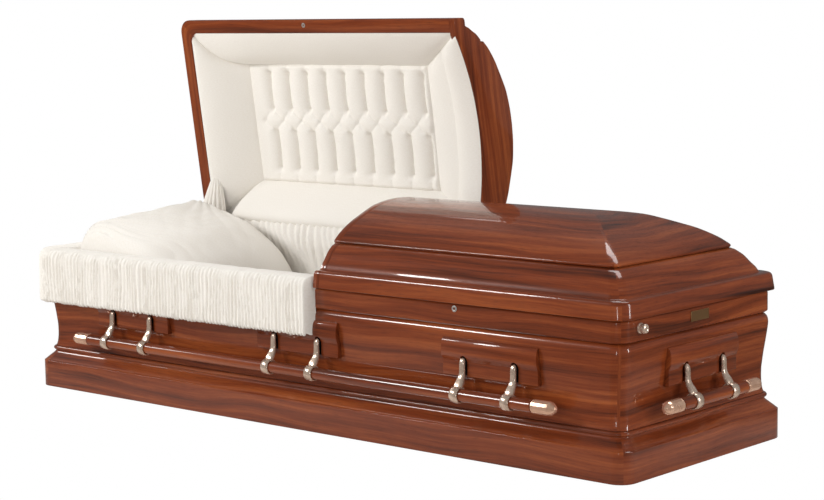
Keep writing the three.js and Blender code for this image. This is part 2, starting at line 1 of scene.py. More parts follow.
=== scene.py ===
"""A half-couch mahogany casket with its head lid open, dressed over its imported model.

Metres. X runs along the length and +X is the foot end, the front faces -Y and +Z is up.
The lids' pieces are shaped closed, and what belongs to the head lid is then turned open.
"""

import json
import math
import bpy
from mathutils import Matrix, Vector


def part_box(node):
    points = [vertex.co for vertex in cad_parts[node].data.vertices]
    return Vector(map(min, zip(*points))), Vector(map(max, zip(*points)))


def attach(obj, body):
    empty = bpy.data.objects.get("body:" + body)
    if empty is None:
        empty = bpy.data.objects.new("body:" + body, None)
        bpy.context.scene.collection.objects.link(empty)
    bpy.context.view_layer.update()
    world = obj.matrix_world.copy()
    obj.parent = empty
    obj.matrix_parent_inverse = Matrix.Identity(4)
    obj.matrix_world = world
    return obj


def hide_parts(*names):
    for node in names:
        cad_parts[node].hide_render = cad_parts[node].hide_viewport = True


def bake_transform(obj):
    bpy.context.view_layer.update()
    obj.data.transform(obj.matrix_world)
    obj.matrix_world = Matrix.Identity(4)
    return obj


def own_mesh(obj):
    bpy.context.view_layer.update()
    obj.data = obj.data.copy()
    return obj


bl_info = {
    "name": "Mahogany Casket",
    "version": (1, 0, 0),
    "blender": (4, 5, 0),
    "location": "View3D > Sidebar > Casket",
    "description": "Polished wood, cast handles and a gathered cloth interior for a half-couch casket",
    "category": "Add Mesh",
}

import bmesh
import bpy
from bpy.props import FloatProperty, FloatVectorProperty, IntProperty, PointerProperty
from bpy.types import Operator, Panel, PropertyGroup
from mathutils import Matrix, Vector, noise
from mathutils.geometry import interpolate_bezier

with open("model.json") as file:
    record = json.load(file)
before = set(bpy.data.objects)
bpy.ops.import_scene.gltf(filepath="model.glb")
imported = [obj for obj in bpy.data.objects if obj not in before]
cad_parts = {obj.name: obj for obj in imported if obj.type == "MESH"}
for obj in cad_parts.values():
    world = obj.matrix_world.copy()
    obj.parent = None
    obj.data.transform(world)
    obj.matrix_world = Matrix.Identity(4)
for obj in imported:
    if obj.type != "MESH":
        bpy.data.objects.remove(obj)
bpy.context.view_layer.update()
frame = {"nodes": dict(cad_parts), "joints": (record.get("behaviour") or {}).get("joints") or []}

MM = 0.001
HAIR = 1e-7
TURN = 2 * math.pi

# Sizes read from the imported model
HALF_LENGTH, HALF_WIDTH, BASE_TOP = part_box("base_moulding")[1]
WALL_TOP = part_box("wall_front")[1].z
RAIL_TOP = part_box("top_rail")[1].z
LID_BOTTOM, OGEE_TOP = (corner.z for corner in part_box("foot_lid_rim"))
CROWN_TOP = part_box("foot_lid_crown")[1].z
MATTRESS_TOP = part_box("mattress")[1].z
HEADER_START, HEADER_END = (corner.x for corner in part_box("foot_lid_header"))
HEADER_THICKNESS = HEADER_END - HEADER_START
PARTING_GAP = 2 * MM
HEADER = {"head": HEADER_START - (PARTING_GAP + HEADER_THICKNESS), "foot": HEADER_START}
JOINTS = {joint["name"]: joint for joint in frame["joints"]}
HINGE = Vector(JOINTS["head_lid_hinge"]["pos_m"])
OPEN_ANGLE = math.radians(JOINTS["head_lid_hinge"]["range_deg"][1])
OPENED = Matrix.Translation(HINGE) @ Matrix.Rotation(-OPEN_ANGLE, 4, "X") @ Matrix.Translation(-HINGE)

# The casket's plan
PLINTH_RADIUS = 41 * MM
LEAST_RADIUS = 12 * MM
CORNER_TAPER = 0.18
CORNER_STEPS = 8
SIDE_STEPS = 4
INNER_INSET = 51 * MM
PIECE_GAP = 0.3 * MM

# How sharp corners of a section are rounded
EASE = 1.6 * MM
EASE_TURN = math.radians(24)
EASE_SHARE = 0.45
EASE_PULL = 0.6
EASE_STEPS = 4

# Points nearer than this are one point, in a grid and in a turned piece
GRID_WELD = 2e-6
TURNED_WELD = 1e-6

# How far the grain moves from one board to the next, along and across
BOARD_STEP = (1.7, 0.61)
GRAIN_ACROSS = 1.3

# Mouldings, each as (inset in millimetres, share of its own rise)
PLINTH_HEIGHT = 75 * MM
PLINTH_SLOPE = [(0, 0), (3, 0.06), (8, 0.19), (21, 0.5), (25, 0.62), (26, 0.7)]
PLINTH_BEAD = [(26, 0.7), (22.5, 0.76), (21, 0.86), (22.5, 0.95), (25, 1)]
WALL_URN = [
    (27, 0), (30, 0.054), (32, 0.16), (32, 0.29), (31, 0.36), (28, 0.505),
    (24, 0.66), (20, 0.83), (19.5, 0.9), (22, 0.96), (28.4, 1),
]
RAIL_LIP = [(28.4, 0), (24, 0.05), (20.5, 0.1)]
RAIL_EDGE = [(20.5, 0.93), (22.5, 1)]
RIM_RISE = 44 * MM
RIM_FACE = [(9.5, 0), (8, 0.05), (10.5, 0.5), (12.5, 0.82), (16, 0.95), (22, 1)]
OGEE = [(36, 0), (38.5, 0.06), (44, 0.22), (53, 0.4), (61, 0.58), (67.5, 0.71), (81, 0.9), (88, 0.96)]
CROWN_NOSING = [(91.5, 0.018), (90.4, 0.055), (93, 0.095)]
CROWN_DOME = [
    (93, 0.095), (115, 0.278), (150, 0.49), (185, 0.646), (215, 0.77), (249, 0.889),
    (300, 0.975), (346, 1),
]
GROOVE_INSET = 94 * MM
RIM_UNDERSIDE = 48 * MM
CROWN_THICKNESS = 18 * MM
CROWN_FOOT = 112 * MM
ARCH_HALF_SPAN = 290 * MM
ARCH_RISE = 62 * MM
ARCH_STEPS = 24
HEADER_EASE = 1.2 * MM
HEADER_RIM_TURN = 1.2
HEADER_GRAIN = 3.1
RIM_HOLLOW = [(0, 1), (0, 0.81), (-29, 0.55), (-45, 0.24), (-60, -0.14)]

# Handles. A tip's collar is (inset, distance) in millimetres, its dome shares of its radius and length
BAR_RADIUS = 15.5 * MM
BAR_OUTSET = 12 * MM
BAR_HEIGHT = 159 * MM
TIP_RADIUS = 17 * MM
TIP_LENGTH = 70 * MM
TIP_FACETS = 12
TIP_FACET_TURN = 12
TIP_COLLAR = [(5, 0), (5, 3), (0.6, 3.4), (0, 4.6), (0, 8), (0.9, 8.8), (0, 9.6)]
TIP_DOME = [(1, 0.74), (0.86, 0.85), (0.45, 0.965), (0, 1)]
BAR_SIDES = 40
BAR_GRAIN = 5.3
ARM_SPACING = 157 * MM
RING_WIDTH = 25 * MM
RING_WALL = 4.5 * MM
RING_LIP = 1.6 * MM
RING_BULGE = 0.4 * MM
RING_SIDES = 36
ARM_SIDES = 16
ARM_FLATNESS = 0.5
ARM_ROUNDNESS = 0.8
PLAQUE_LOW, PLAQUE_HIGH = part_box("plaque_front_1")
PLAQUE_BOTTOM, PLAQUE_TOP = PLAQUE_LOW.z, PLAQUE_HIGH.z
PLAQUE_HALF = (PLAQUE_HIGH.x - PLAQUE_LOW.x) / 2
PLAQUE_PLACES = (-645 * MM, 0, 645 * MM)
PLAQUE_BACK_STEPS = 6
PLAQUE_FACE = [
    (15.5, 0), (15.5, 0.36), (15, 0.41), (10.2, 0.53), (8.8, 0.61), (8.5, 0.7), (9.4, 0.82),
    (12, 0.93), (16.5, 1),
]
SLOT_WIDTH = 20 * MM
SLOT_TOP = 251 * MM

# Each side's turn from the front, its distance from the middle and its plaques' places
SIDES = {
    "front": (0, HALF_WIDTH, PLAQUE_PLACES),
    "foot": (math.pi / 2, HALF_LENGTH, (0,)),
    "back": (math.pi, HALF_WIDTH, PLAQUE_PLACES),
    "head": (-math.pi / 2, HALF_LENGTH, (0,)),
}

# Small fittings, with the cap's profile as shares of its radius and its reach
CAP_PROFILE = [
    (0, 0), (1, 0), (1, 0.18), (0.82, 0.26), (0.88, 0.34), (0.88, 0.84), (0.8, 0.94), (0.55, 1),
    (0.4, 0.93), (0, 0.93),
]
KNURLS = 24
KNURL_DEPTH = 0.035
LOCK_X = 0.533
LOCK_HEIGHT = 0.362
KEEPER_X = -0.511
KEEPER_REACH = 0.664

# Cloth
LINING_OUTER = INNER_INSET + 0.6 * MM
LINING_INNER = LINING_OUTER + 12 * MM
APRON_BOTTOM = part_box("apron")[0].z
APRON_FOOT_X, APRON_BACK_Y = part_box("apron")[1].xy
APRON_OUTSET = 16 * MM
APRON_RADIUS = 76 * MM
APRON_SEAM = RAIL_TOP + 0.5 * MM
PANEL_WEST, PANEL_EAST = -854 * MM, -136 * MM
PANEL_SOUTH, PANEL_NORTH = -185 * MM, 178 * MM
PANEL_FACE = 486 * MM
PANEL_TUCK = 8 * MM
TUFT_MARGIN = 78 * MM
TUFT_PITCH = 77.5 * MM

# Camera
CAMERA_PLACE = Vector((3.6743, -4.0552, 1.0987))
CAMERA_AZIMUTH = math.radians(41.286)
CAMERA_PITCH = math.radians(6.921)
CAMERA_ROLL = math.radians(-0.842)
CAMERA_LENS = 88.82
CAMERA_SENSOR = 36


def flowing(points, steps=4):
    """A curve through every point, in a few steps from each to the next"""
    ends = [2 * points[0] - points[1], *points, 2 * points[-1] - points[-2]]
    curve = []
    for before, start, stop, after in zip(ends, ends[1:], ends[2:], ends[3:]):
        leaving = start + (stop - before) / 6
        arriving = stop - (after - start) / 6
        curve += interpolate_bezier(start, leaving, arriving, stop, steps + 1)[:-1]
    return [Vector(point[:2]) for point in curve] + [points[-1].copy()]


def moulding(profile, bottom, top):
    """A moulding's (inset, share) list as a flowing line between two heights"""
    rise = top - bottom
    return flowing([Vector((inset * MM, bottom + share * rise)) for inset, share in profile])


def drawn(points, steps=4):
    """A flowing curve through points given in millimetres"""
    return flowing([Vector((x * MM, y * MM)) for x, y in points], steps)


def eased(line, closed=False):
    """Rounds the sharp corners of a line"""
    result = []
    last = len(line) - 1
    for index, corner in enumerate(line):
        arriving = corner - line[index - 1]
        leaving = line[(index + 1) % len(line)] - corner
        inner = closed or 0 < index < last
        short = min(arriving.length, leaving.length)
        if not inner or short < HAIR or arriving.angle(leaving) < EASE_TURN:
            result.append(corner)
            continue
        near = corner - arriving.normalized() * min(EASE, arriving.length * EASE_SHARE)
        far = corner + leaving.normalized() * min(EASE, leaving.length * EASE_SHARE)
        handles = near.lerp(corner, EASE_PULL), far.lerp(corner, EASE_PULL)
        rounded = interpolate_bezier(near, *handles, far, EASE_STEPS)
        result += [Vector(point[:2]) for point in rounded]
    return result


def hump(share):
    """Rises from nothing to one and falls back again over a share of one"""
    return max(0, math.sin(math.pi * share))


def wander(x, y, z):
    """Smooth noise about nothing, the same each run"""
    return noise.noise(Vector((x, y, z)))


def lengths(line):
    """How far each point is along its line"""
    total = [0.0]
    for start, stop in zip(line, line[1:]):
        total.append(total[-1] + (stop - start).length)
    return total


def plan_point(station, inset, low=None, high=None):
    """A point of the casket's plan. Even parts are its sides, from the front round by the foot."""
    half_x, half_y = HALF_LENGTH - inset, HALF_WIDTH - inset
    radius = max(PLINTH_RADIUS - CORNER_TAPER * inset, min(LEAST_RADIUS, half_y / 2))
    straight_x, straight_y = half_x - radius, half_y - radius
    part, share = math.floor(station) % 8, station % 1
    quarter = part // 2
    if part % 2:
        angle = (quarter - 1 + share) * math.pi / 2
        side_x = (1, 1, -1, -1)[quarter]
        side_y = (-1, 1, 1, -1)[quarter]
        x = side_x * straight_x + radius * math.cos(angle)
        y = side_y * straight_y + radius * math.sin(angle)
        return Vector((x, y))
    low = -straight_x if low is None else low
    high = straight_x if high is None else high
    start, stop = (
        (Vector((low, -half_y)), Vector((high, -half_y))),
        (Vector((half_x, -straight_y)), Vector((half_x, straight_y))),
        (Vector((high, half_y)), Vector((low, half_y))),
        (Vector((-half_x, straight_y)), Vector((-half_x, -straight_y))),
    )[quarter]
    return start.lerp(stop, share)


def stations(first, last):
    """Stops round the plan, doubled at each mitre so that the grain can change there"""
    marks = []
    for part in range(math.floor(first), math.ceil(last)):
        steps = CORNER_STEPS if part % 2 else SIDE_STEPS
        marks += [part + step / steps for step in range(steps)]
    marks.append(math.ceil(last) - HAIR)
    stops = []
    for mark in marks:
        if first < mark < last and mark % 2 == 1.5:
            stops += [mark - HAIR, mark + HAIR]
        elif first <= mark <= last:
            stops.append(mark)
    return stops


def skin(columns, rows, place, lay, caps=False):
    """A grid whose corners place(column, row) puts in space and lay(column, row) on board or cloth"""
    bm = bmesh.new()
    bmesh.ops.create_grid(bm, x_segments=columns, y_segments=rows, size=0.5)
    uv = bm.loops.layers.uv.new("UVMap")
    spots = {
        vert: (round((vert.co.x + 0.5) * columns), round((vert.co.y + 0.5) * rows)) for vert in bm.verts
    }
    for face in bm.faces:
        for loop in face.loops:
            loop[uv].uv = lay(*spots[loop.vert])
    for vert, spot in spots.items():
        vert.co = place(*spot)
    bmesh.ops.remove_doubles(bm, verts=bm.verts, dist=GRID_WELD)
    if caps:
        cap(bm)
    bmesh.ops.recalc_face_normals(bm, faces=bm.faces)
    return bm


def split_large(bm):
    """Divides the faces of more than four corners"""
    bmesh.ops.triangulate(bm, faces=[face for face in bm.faces if len(face.verts) > 4])


def cap(bm):
    """Closes a shell's open ends"""
    rims = [edge for edge in bm.edges if edge.is_boundary]
    bmesh.ops.holes_fill(bm, edges=rims, sides=0)
    split_large(bm)


def sweep(section, first, last, low=None, high=None, shift=0.0, closed=True):
    """Carries a moulding's section round the casket's plan from one station to another"""
    marks = stations(first, last)
    line = section + section[:1] if closed else section
    run = lengths([plan_point(mark, 0, low, high) for mark in marks])
    across = lengths(line)

    def place(column, row):
        inset, height = line[row]
        return (*plan_point(marks[column], inset, low, high), height)

    def lay(column, row):
        board = math.floor((marks[column] + 0.5) / 2) % 4
        along, over = (step * board for step in BOARD_STEP)
        return run[column] + along + shift, across[row] + over + GRAIN_ACROSS * shift

    return skin(len(marks) - 1, len(line) - 1, place, lay, caps=last - first < 8)


def laid(bm, rule):
    """Gives each corner of a face the place in the pattern that a rule finds for its spot"""
    uv = bm.loops.layers.uv.verify()
    for face in bm.faces:
        for loop in face.loops:
            loop[uv].uv = rule(loop.vert.co, face.normal)


def board_grain(bm, shift):
    """Lays the grain of a straight piece along X"""
    laid(bm, lambda spot, normal: (spot.x + shift, spot.y + spot.z + GRAIN_ACROSS * shift))


def block(low, high):
    """A box between two corners"""
    bm = bmesh.new()
    bmesh.ops.create_cube(bm, size=1)
    bm.transform(Matrix.LocRotScale((low + high) / 2, None, high - low))
    return bm


def drawn_out(bm, faces, way):
    """Makes a solid of flat faces by pulling them along a way"""
    pulled = bmesh.ops.extrude_face_region(bm, geom=faces)["geom"]
    moved = [item for item in pulled if isinstance(item, bmesh.types.BMVert)]
    bmesh.ops.translate(bm, verts=moved, vec=way)


def bevelled(bm, edges, offset):
    """Eases the chosen edges"""
    bmesh.ops.bevel(
        bm, geom=edges, offset=offset, segments=2, profile=0.5, affect="EDGES",
        clamp_overlap=True, material=-1,
    )


def sharp_edges(bm, degrees):
    """The edges that turn by more than an angle"""
    limit = math.radians(degrees)
    return [edge for edge in bm.edges if edge.is_manifold and edge.calc_face_angle(0) > limit]


def is_level(edge):
    """Whether both ends of an edge are at one place along X"""
    return abs(edge.verts[0].co.x - edge.verts[1].co.x) < HAIR


def mesh_of(name, bm):
    """Turns a bmesh into a mesh"""
    mesh = bpy.data.meshes.new(name)
    bm.to_mesh(mesh)
    bm.free()
    return mesh


def added(name, data):
    """A new object in the scene"""
    item = bpy.data.objects.new(name, data)
    bpy.context.scene.collection.objects.link(item)
    return item


def made(name, bm, material, crease=32):
    """The finished object of a bmesh, smooth but for its sharp edges"""
    for face in bm.faces:
        face.smooth = True
    for edge in sharp_edges(bm, crease):
        edge.smooth = False
    mesh = mesh_of(name, bm)
    mesh.materials.append(bpy.data.materials[material])
    return added(name, mesh)


def fitted(piece, body, slot, *nodes):
    """Puts a piece on its body, in place of the nodes that it stands for. Its finish slot is not used."""
    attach(piece, body)
    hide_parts(*nodes)
    return piece


def carved(bm, cutter):
    """What is left of a solid once a cutter has gone through it"""
    solids = {"carving": bm, "cutter": cutter}
    work, tool = (added(name, mesh_of(name, solid)) for name, solid in solids.items())
    cut = work.modifiers.new("cut", "BOOLEAN")
    cut.object = tool
    cut.operation = "DIFFERENCE"
    cut.solver = "EXACT"
    result = bmesh.new()
    result.from_object(work, bpy.context.evaluated_depsgraph_get())
    for item in (work, tool):
        mesh = item.data
        bpy.data.objects.remove(item)
        bpy.data.meshes.remove(mesh)
    return result


def revolved(profile, steps, axis="X"):
    """A turned piece: a (radius, distance) line spun about an axis, from pole to pole"""
    bm = bmesh.new()
    verts = [bm.verts.new((distance, 0, radius)) for radius, distance in profile]
    edges = [bm.edges.new(pair) for pair in zip(verts, verts[1:])]
    bmesh.ops.spin(
        bm, geom=verts + edges, cent=(0, 0, 0), axis=(1, 0, 0), dvec=(0, 0, 0), angle=TURN,
        steps=steps, use_merge=True,
    )
    bmesh.ops.remove_doubles(bm, verts=bm.verts, dist=TURNED_WELD)
    if axis == "Y":
        bm.transform(Matrix.Rotation(-math.pi / 2, 4, "Z"))
    bmesh.ops.recalc_face_normals(bm, faces=bm.faces)
    return bm


# Materials


def pattern_group(name, inputs):
    """Starts a shader group that turns a place and some settings into a surface"""
    group = bpy.data.node_groups.new(name, "ShaderNodeTree")
    socket = group.interface.new_socket
    socket("Vector", in_out="INPUT", socket_type="NodeSocketVector")
    for label, value in inputs.items():
        kind = "NodeSocketFloat" if isinstance(value, float) else "NodeSocketColor"
        socket(label, in_out="INPUT", socket_type=kind).default_value = value
    socket("Color", in_out="OUTPUT", socket_type="NodeSocketColor")
    for label in ("Roughness", "Height"):
        socket(label, in_out="OUTPUT", socket_type="NodeSocketFloat")
    return Wiring(group), group.nodes.new("NodeGroupInput").outputs


class Wiring:
    """Adds nodes to a tree and joins them in one call"""

    def __init__(self, tree):
        self.tree = tree

    def node(self, kind, values=None, links=None, **settings):
        """A node with its plain values, the outputs that feed it and its settings"""
        made_node = self.tree.nodes.new(kind)
        for key, value in settings.items():
            setattr(made_node, key, value)
        for key, value in (values or {}).items():
            made_node.inputs[key].default_value = value
        for key, source in (links or {}).items():
            self.tree.links.new(source, made_node.inputs[key])
        return made_node

    def math(self, operation, first, second):
        """Two outputs or numbers taken together"""
        result = self.tree.nodes.new("ShaderNodeMath")
        result.operation = operation
        for socket, value in zip(result.inputs, (first, second)):
            if isinstance(value, (int, float)):
                socket.default_value = value
            else:
                self.tree.links.new(value, socket)
        return result.outputs[0]

    def plus(self, first, second):
        return self.math("ADD", first, second)

    def times(self, first, second):
        return self.math("MULTIPLY", first, second)

    def stretched(self, vector, scale):
        return self.node("ShaderNodeMapping", {"Scale": scale}, {"Vector": vector}).outputs[0]

    def noise(self, vector, scale=1.0, detail=3.0, roughness=0.5):
        values = {"Scale": scale, "Detail": detail, "Roughness": roughness}
        return self.node("ShaderNodeTexNoise", values, {"Vector": vector}).outputs[0]

    def ramp(self, factor, *stops):
        shade = self.node("ShaderNodeValToRGB", links={"Fac": factor})
        elements = shade.color_ramp.elements
        while len(elements) < len(stops):
            elements.new(0.5)
        for element, (position, colour) in zip(elements, stops):
            element.position = position
            element.color = (*colour, 1)
        return shade.outputs[0]

    def mixed(self, factor, first, second):
        mix = self.node("ShaderNodeMix", data_type="RGBA")
        for socket, value in zip((mix.inputs[0], mix.inputs[6], mix.inputs[7]), (factor, first, second)):
            if isinstance(value, bpy.types.NodeSocket):
                self.tree.links.new(value, socket)
            else:
                socket.default_value = value
        return mix.outputs[2]

    def either(self, test, usual, other):
        """One shader, or another where a test on the ray is true"""
        return self.node("ShaderNodeMixShader", links={0: test, 1: usual, 2: other}).outputs[0]

    def surface(self, colour, roughness, height):
        """Ends a pattern group with its three results"""
        results = {"Color": colour, "Roughness": roughness, "Height": height}
        self.node("NodeGroupOutput", links=results)
        return self.tree


def grain_group():
    """Ribbon grain of polished mahogany: broad streaks, fine lines and short dark pores"""
    wires, source = pattern_group("Ribbon Grain", {
        "Dark": (0.05, 0.01, 0.005, 1), "Middle": (0.22, 0.045, 0.014, 1), "Light": (0.42, 0.1, 0.03, 1),
        "Pore Depth": 0.4,
    })
    place = source["Vector"]
    sway = wires.noise(wires.stretched(place, (2.2, 3, 1)), detail=1)
    bend = wires.node("ShaderNodeCombineXYZ", links={"Y": wires.times(sway, 0.05)}).outputs[0]
    swayed = wires.node("ShaderNodeVectorMath", links={0: place, 1: bend}, operation="ADD").outputs[0]
    boards = wires.noise(wires.stretched(swayed, (0.7, 9, 1)), detail=1)
    ribbons = wires.noise(wires.stretched(swayed, (1.5, 42, 1)), detail=3, roughness=0.55)
    lines = wires.noise(wires.stretched(swayed, (4, 190, 1)), detail=2, roughness=0.6)
    pores = wires.noise(wires.stretched(swayed, (26, 900, 1)), detail=1)
    blended = wires.plus(wires.times(boards, 0.3), wires.times(ribbons, 0.52))
    blended = wires.plus(blended, wires.times(lines, 0.18))
    tone = wires.ramp(
        blended, (0.34, (0, 0, 0)), (0.45, (0.36,) * 3), (0.54, (0.6,) * 3), (0.68, (1, 1, 1))
    )
    low = wires.mixed(wires.times(tone, 2.0), source["Dark"], source["Middle"])
    over = wires.times(wires.math("SUBTRACT", tone, 0.5), 2.0)
    colour = wires.mixed(over, low, source["Light"])
    specks = wires.ramp(pores, (0.3, (1, 1, 1)), (0.42, (0, 0, 0)))
    colour = wires.mixed(wires.times(specks, source["Pore Depth"]), colour, source["Dark"])
    roughness = wires.plus(0.28, wires.times(specks, 0.25))
    return wires.surface(colour, roughness, lines)


def tarnish_group():
    """Handling wear on metal: darker in broad patches, with fine brushing"""
    wires, source = pattern_group(
        "Handled Metal", {"Bright": (0.8, 0.6, 0.4, 1), "Dull": (0.4, 0.25, 0.15, 1), "Roughness": 0.25},
    )
    place = source["Vector"]
    patches = wires.noise(place, scale=38, detail=4, roughness=0.62)
    grit = wires.noise(place, scale=900, detail=2)
    mask = wires.ramp(patches, (0.38, (0, 0, 0)), (0.68, (1, 1, 1)))
    colour = wires.mixed(wires.times(mask, 0.6), source["Bright"], source["Dull"])
    roughness = wires.plus(source["Roughness"], wires.times(mask, 0.16))
    return wires.surface(colour, roughness, grit)


def crepe_group():
    """Soft crepe cloth: a fine weave under a crinkle that runs one way, with painted shade in the
    crinkle's hollows and a random cloudy tone
    """
    wires, source = pattern_group(
        "Crepe Weave", {"Cloth": (0.83, 0.78, 0.7, 1), "Hollow Shade": (0.8, 0.75, 0.68, 1), "Crinkle": 0.5},
    )
    place = source["Vector"]
    threads = []
    for direction in ("X", "Y"):
        wave = wires.node(
            "ShaderNodeTexWave", {"Scale": 260.0, "Distortion": 0.6, "Detail": 1.0}, {"Vector": place},
            bands_direction=direction,
        )
        threads.append(wave.outputs["Fac"])
    weave = wires.times(threads[0], threads[1])
    crinkle = wires.noise(wires.stretched(place, (560, 170, 170)), detail=3, roughness=0.6)
    cloud = wires.noise(place, scale=7, detail=3)
    # Painted shade: the colour darkens towards the hollows' colour where the crinkle is low, with a random
    # cloudy tone on top
    mask = wires.times(wires.ramp(crinkle, (0.35, (1, 1, 1)), (0.6, (0, 0, 0))), 0.55)
    mask = wires.plus(mask, wires.times(cloud, 0.2))
    colour = wires.mixed(mask, source["Cloth"], source["Hollow Shade"])
    height = wires.times(crinkle, source["Crinkle"])
    height = wires.plus(height, wires.times(weave, 0.22))
    roughness = wires.plus(0.78, wires.times(weave, 0.14))
    return wires.surface(colour, roughness, height)


def surfaced(name, group, inputs, source, plain, bump):
    """A material whose shader takes colour, roughness and height from a group"""
    material = bpy.data.materials.new(name)
    material.use_nodes = True
    tree = material.node_tree
    wires = Wiring(tree)
    place = wires.node("ShaderNodeTexCoord").outputs[source]
    pattern = wires.node("ShaderNodeGroup", node_tree=group)
    tree.links.new(place, pattern.inputs["Vector"])
    shader = tree.nodes["Principled BSDF"]
    for target, values in ((pattern, inputs), (shader, plain)):
        for key, value in values.items():
            target.inputs[key].default_value = value
    strength, distance = bump
    raised = wires.node(
        "ShaderNodeBump", {"Strength": strength, "Distance": distance},
        {"Height": pattern.outputs["Height"]},
    )
    for key in ("Base Color", "Roughness"):
        tree.links.new(pattern.outputs[key.split()[-1]], shader.inputs[key])
    tree.links.new(raised.outputs["Normal"], shader.inputs["Normal"])


def colour_setting(name, description, default):
    """A colour of the panel"""
    return FloatVectorProperty(
        name=name, description=description, default=default, subtype="COLOR", size=3, min=0, max=1,
    )


def size_setting(name, description, default, low, high):
    """A length of the panel, given in millimetres"""
    return FloatProperty(
        name=name, description=description, default=default * MM, min=low * MM, max=high * MM,
        subtype="DISTANCE", unit="LENGTH",
    )


class CasketWoodSettings(PropertyGroup):
    dark: colour_setting("Dark Streaks", "Colour of the darkest grain", (0.030, 0.0065, 0.003))
    middle: colour_setting("Ground", "Colour of most of the wood", (0.19, 0.0365, 0.0095))
    light: colour_setting("Light Streaks", "Colour of the lightest grain", (0.36, 0.092, 0.024))
    polish: FloatProperty(
        name="Polish", description="Weight of the clear lacquer", default=0.85, min=0, max=1,
    )


class CasketClothSettings(PropertyGroup):
    colour: colour_setting("Cloth", "Colour of the interior cloth", (0.87, 0.84, 0.79))
    gather: size_setting("Gather", "Distance from one gathered fold to the next", 12.5, 6, 60)
    gather_depth: size_setting("Gather Depth", "How far a gathered fold stands out", 3.9, 0, 15)
    tuft_columns: IntProperty(
        name="Tuft Columns", description="Tufts across the lid's panel", default=9, min=3, max=15,
    )
    tuft_depth: size_setting("Tuft Depth", "How far the lid's panel swells between its tufts", 22, 0, 45)


class CASKET_OT_finishes(Operator):
    """Makes the wood, metal and cloth finishes"""

    bl_idname = "casket.finishes"
    bl_label = "Finishes"

    def execute(self, context):
        wood = context.scene.casket_wood
        cloth = context.scene.casket_cloth
        grain, handled, crepe = grain_group(), tarnish_group(), crepe_group()
        surfaced(
            "polished_mahogany", grain,
            {"Dark": (*wood.dark, 1), "Middle": (*wood.middle, 1), "Light": (*wood.light, 1)}, "UV",
            {
                "Coat Weight": wood.polish, "Coat Roughness": 0.025, "Coat IOR": 1.5,
                "Specular IOR Level": 0.15,
            },
            (0.08, 0.3 * MM),
        )
        metals = {
            "antique_bronze": ((0.88, 0.7, 0.57, 1), (0.42, 0.29, 0.21, 1), 0.16),
            "rose_copper": ((0.98, 0.64, 0.46, 1), (0.7, 0.38, 0.26, 1), 0.14),
            "small_brass": ((0.46, 0.24, 0.13, 1), (0.24, 0.12, 0.06, 1), 0.38),
            "grey_nickel": ((0.6, 0.58, 0.55, 1), (0.4, 0.38, 0.36, 1), 0.3),
            # Near-black, for the sheets that paint the shade inside the plaques' slots
            "painted_shade_black": ((0.02, 0.016, 0.014, 1), (0.008, 0.007, 0.006, 1), 0.55),
        }
        for name, (bright, dull, rough) in metals.items():
            surfaced(
                name, handled, {"Bright": bright, "Dull": dull, "Roughness": rough}, "Object",
                {"Metallic": 0.7}, (0.05, 0.1 * MM),
            )
        for name, crinkle in (("gathered_crepe", 0.5), ("smooth_crepe", 0.25)):
            surfaced(
                name, crepe, {"Cloth": (*cloth.colour, 1), "Crinkle": crinkle}, "UV",
                {"Sheen Weight": 0.3, "Sheen Roughness": 0.4, "Specular IOR Level": 0.2}, (0.25, 0.3 * MM),
            )
        return {"FINISHED"}


# Wooden body


def base_section():
    """The plinth's outline with its slope and bead, and the plain inside"""
    outside = [Vector((0, 0)), Vector((0, PLINTH_HEIGHT))]
    outside += moulding(PLINTH_SLOPE, PLINTH_HEIGHT, BASE_TOP)[1:]
    outside += moulding(PLINTH_BEAD, PLINTH_HEIGHT, BASE_TOP)[1:]
    return eased(outside + [Vector((INNER_INSET, BASE_TOP)), Vector((INNER_INSET, 0))], closed=True)


def boxed(outside, bottom, top):
    """Closes a moulding's outline with the wall's flat inside"""
    return eased(outside + [Vector((INNER_INSET, top)), Vector((INNER_INSET, bottom))], closed=True)


class CASKET_OT_body(Operator):
    """Makes the plinth, the bottom board, the four mitred walls and the top rail"""

    bl_idname = "casket.body"
    bl_label = "Wooden Body"

    def execute(self, context):
        wood = "polished_mahogany"
        base = sweep(base_section(), 0, 8, shift=0.4)
        fitted(made("polished_plinth", base, wood), "root", "mahogany", "base_moulding")
        bottom = BASE_TOP + PIECE_GAP
        section = boxed(moulding(WALL_URN, bottom, WALL_TOP), bottom, WALL_TOP)
        for index, side in enumerate(("front", "foot", "back", "head")):
            first = 2 * index - 0.5
            wall = sweep(section, first, first + 2, shift=0.9)
            fitted(made("polished_wall_" + side, wall, wood), "root", "mahogany", "wall_" + side)
        bottom = WALL_TOP + PIECE_GAP
        outside = moulding(RAIL_LIP, bottom, RAIL_TOP) + moulding(RAIL_EDGE, bottom, RAIL_TOP)
        rail = sweep(boxed(outside, bottom, RAIL_TOP), 0, 8, shift=1.9)
        fitted(made("polished_rail", rail, wood), "root", "mahogany", "top_rail")
        low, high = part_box("bottom_board")
        board = block(low, high)
        bevelled(board, board.edges[:], EASE)
        board_grain(board, 0.2)
        fitted(made("underside_board", board, wood), "root", "mahogany", "bottom_board")
        return {"FINISHED"}


# Lids


def rim_outside():
    """The lid's rim and the ogee above it, from the seam up to the crown's groove"""
    rim_top = LID_BOTTOM + RIM_RISE
    return moulding(RIM_FACE, LID_BOTTOM, rim_top) + moulding(OGEE, rim_top, OGEE_TOP)


def crown_outside():
    """The crown from its nosing up to the ridge"""
    bottom = OGEE_TOP + PIECE_GAP
    nosing = moulding(CROWN_NOSING, bottom, CROWN_TOP)
    return nosing + moulding(CROWN_DOME, bottom, CROWN_TOP)[1:]


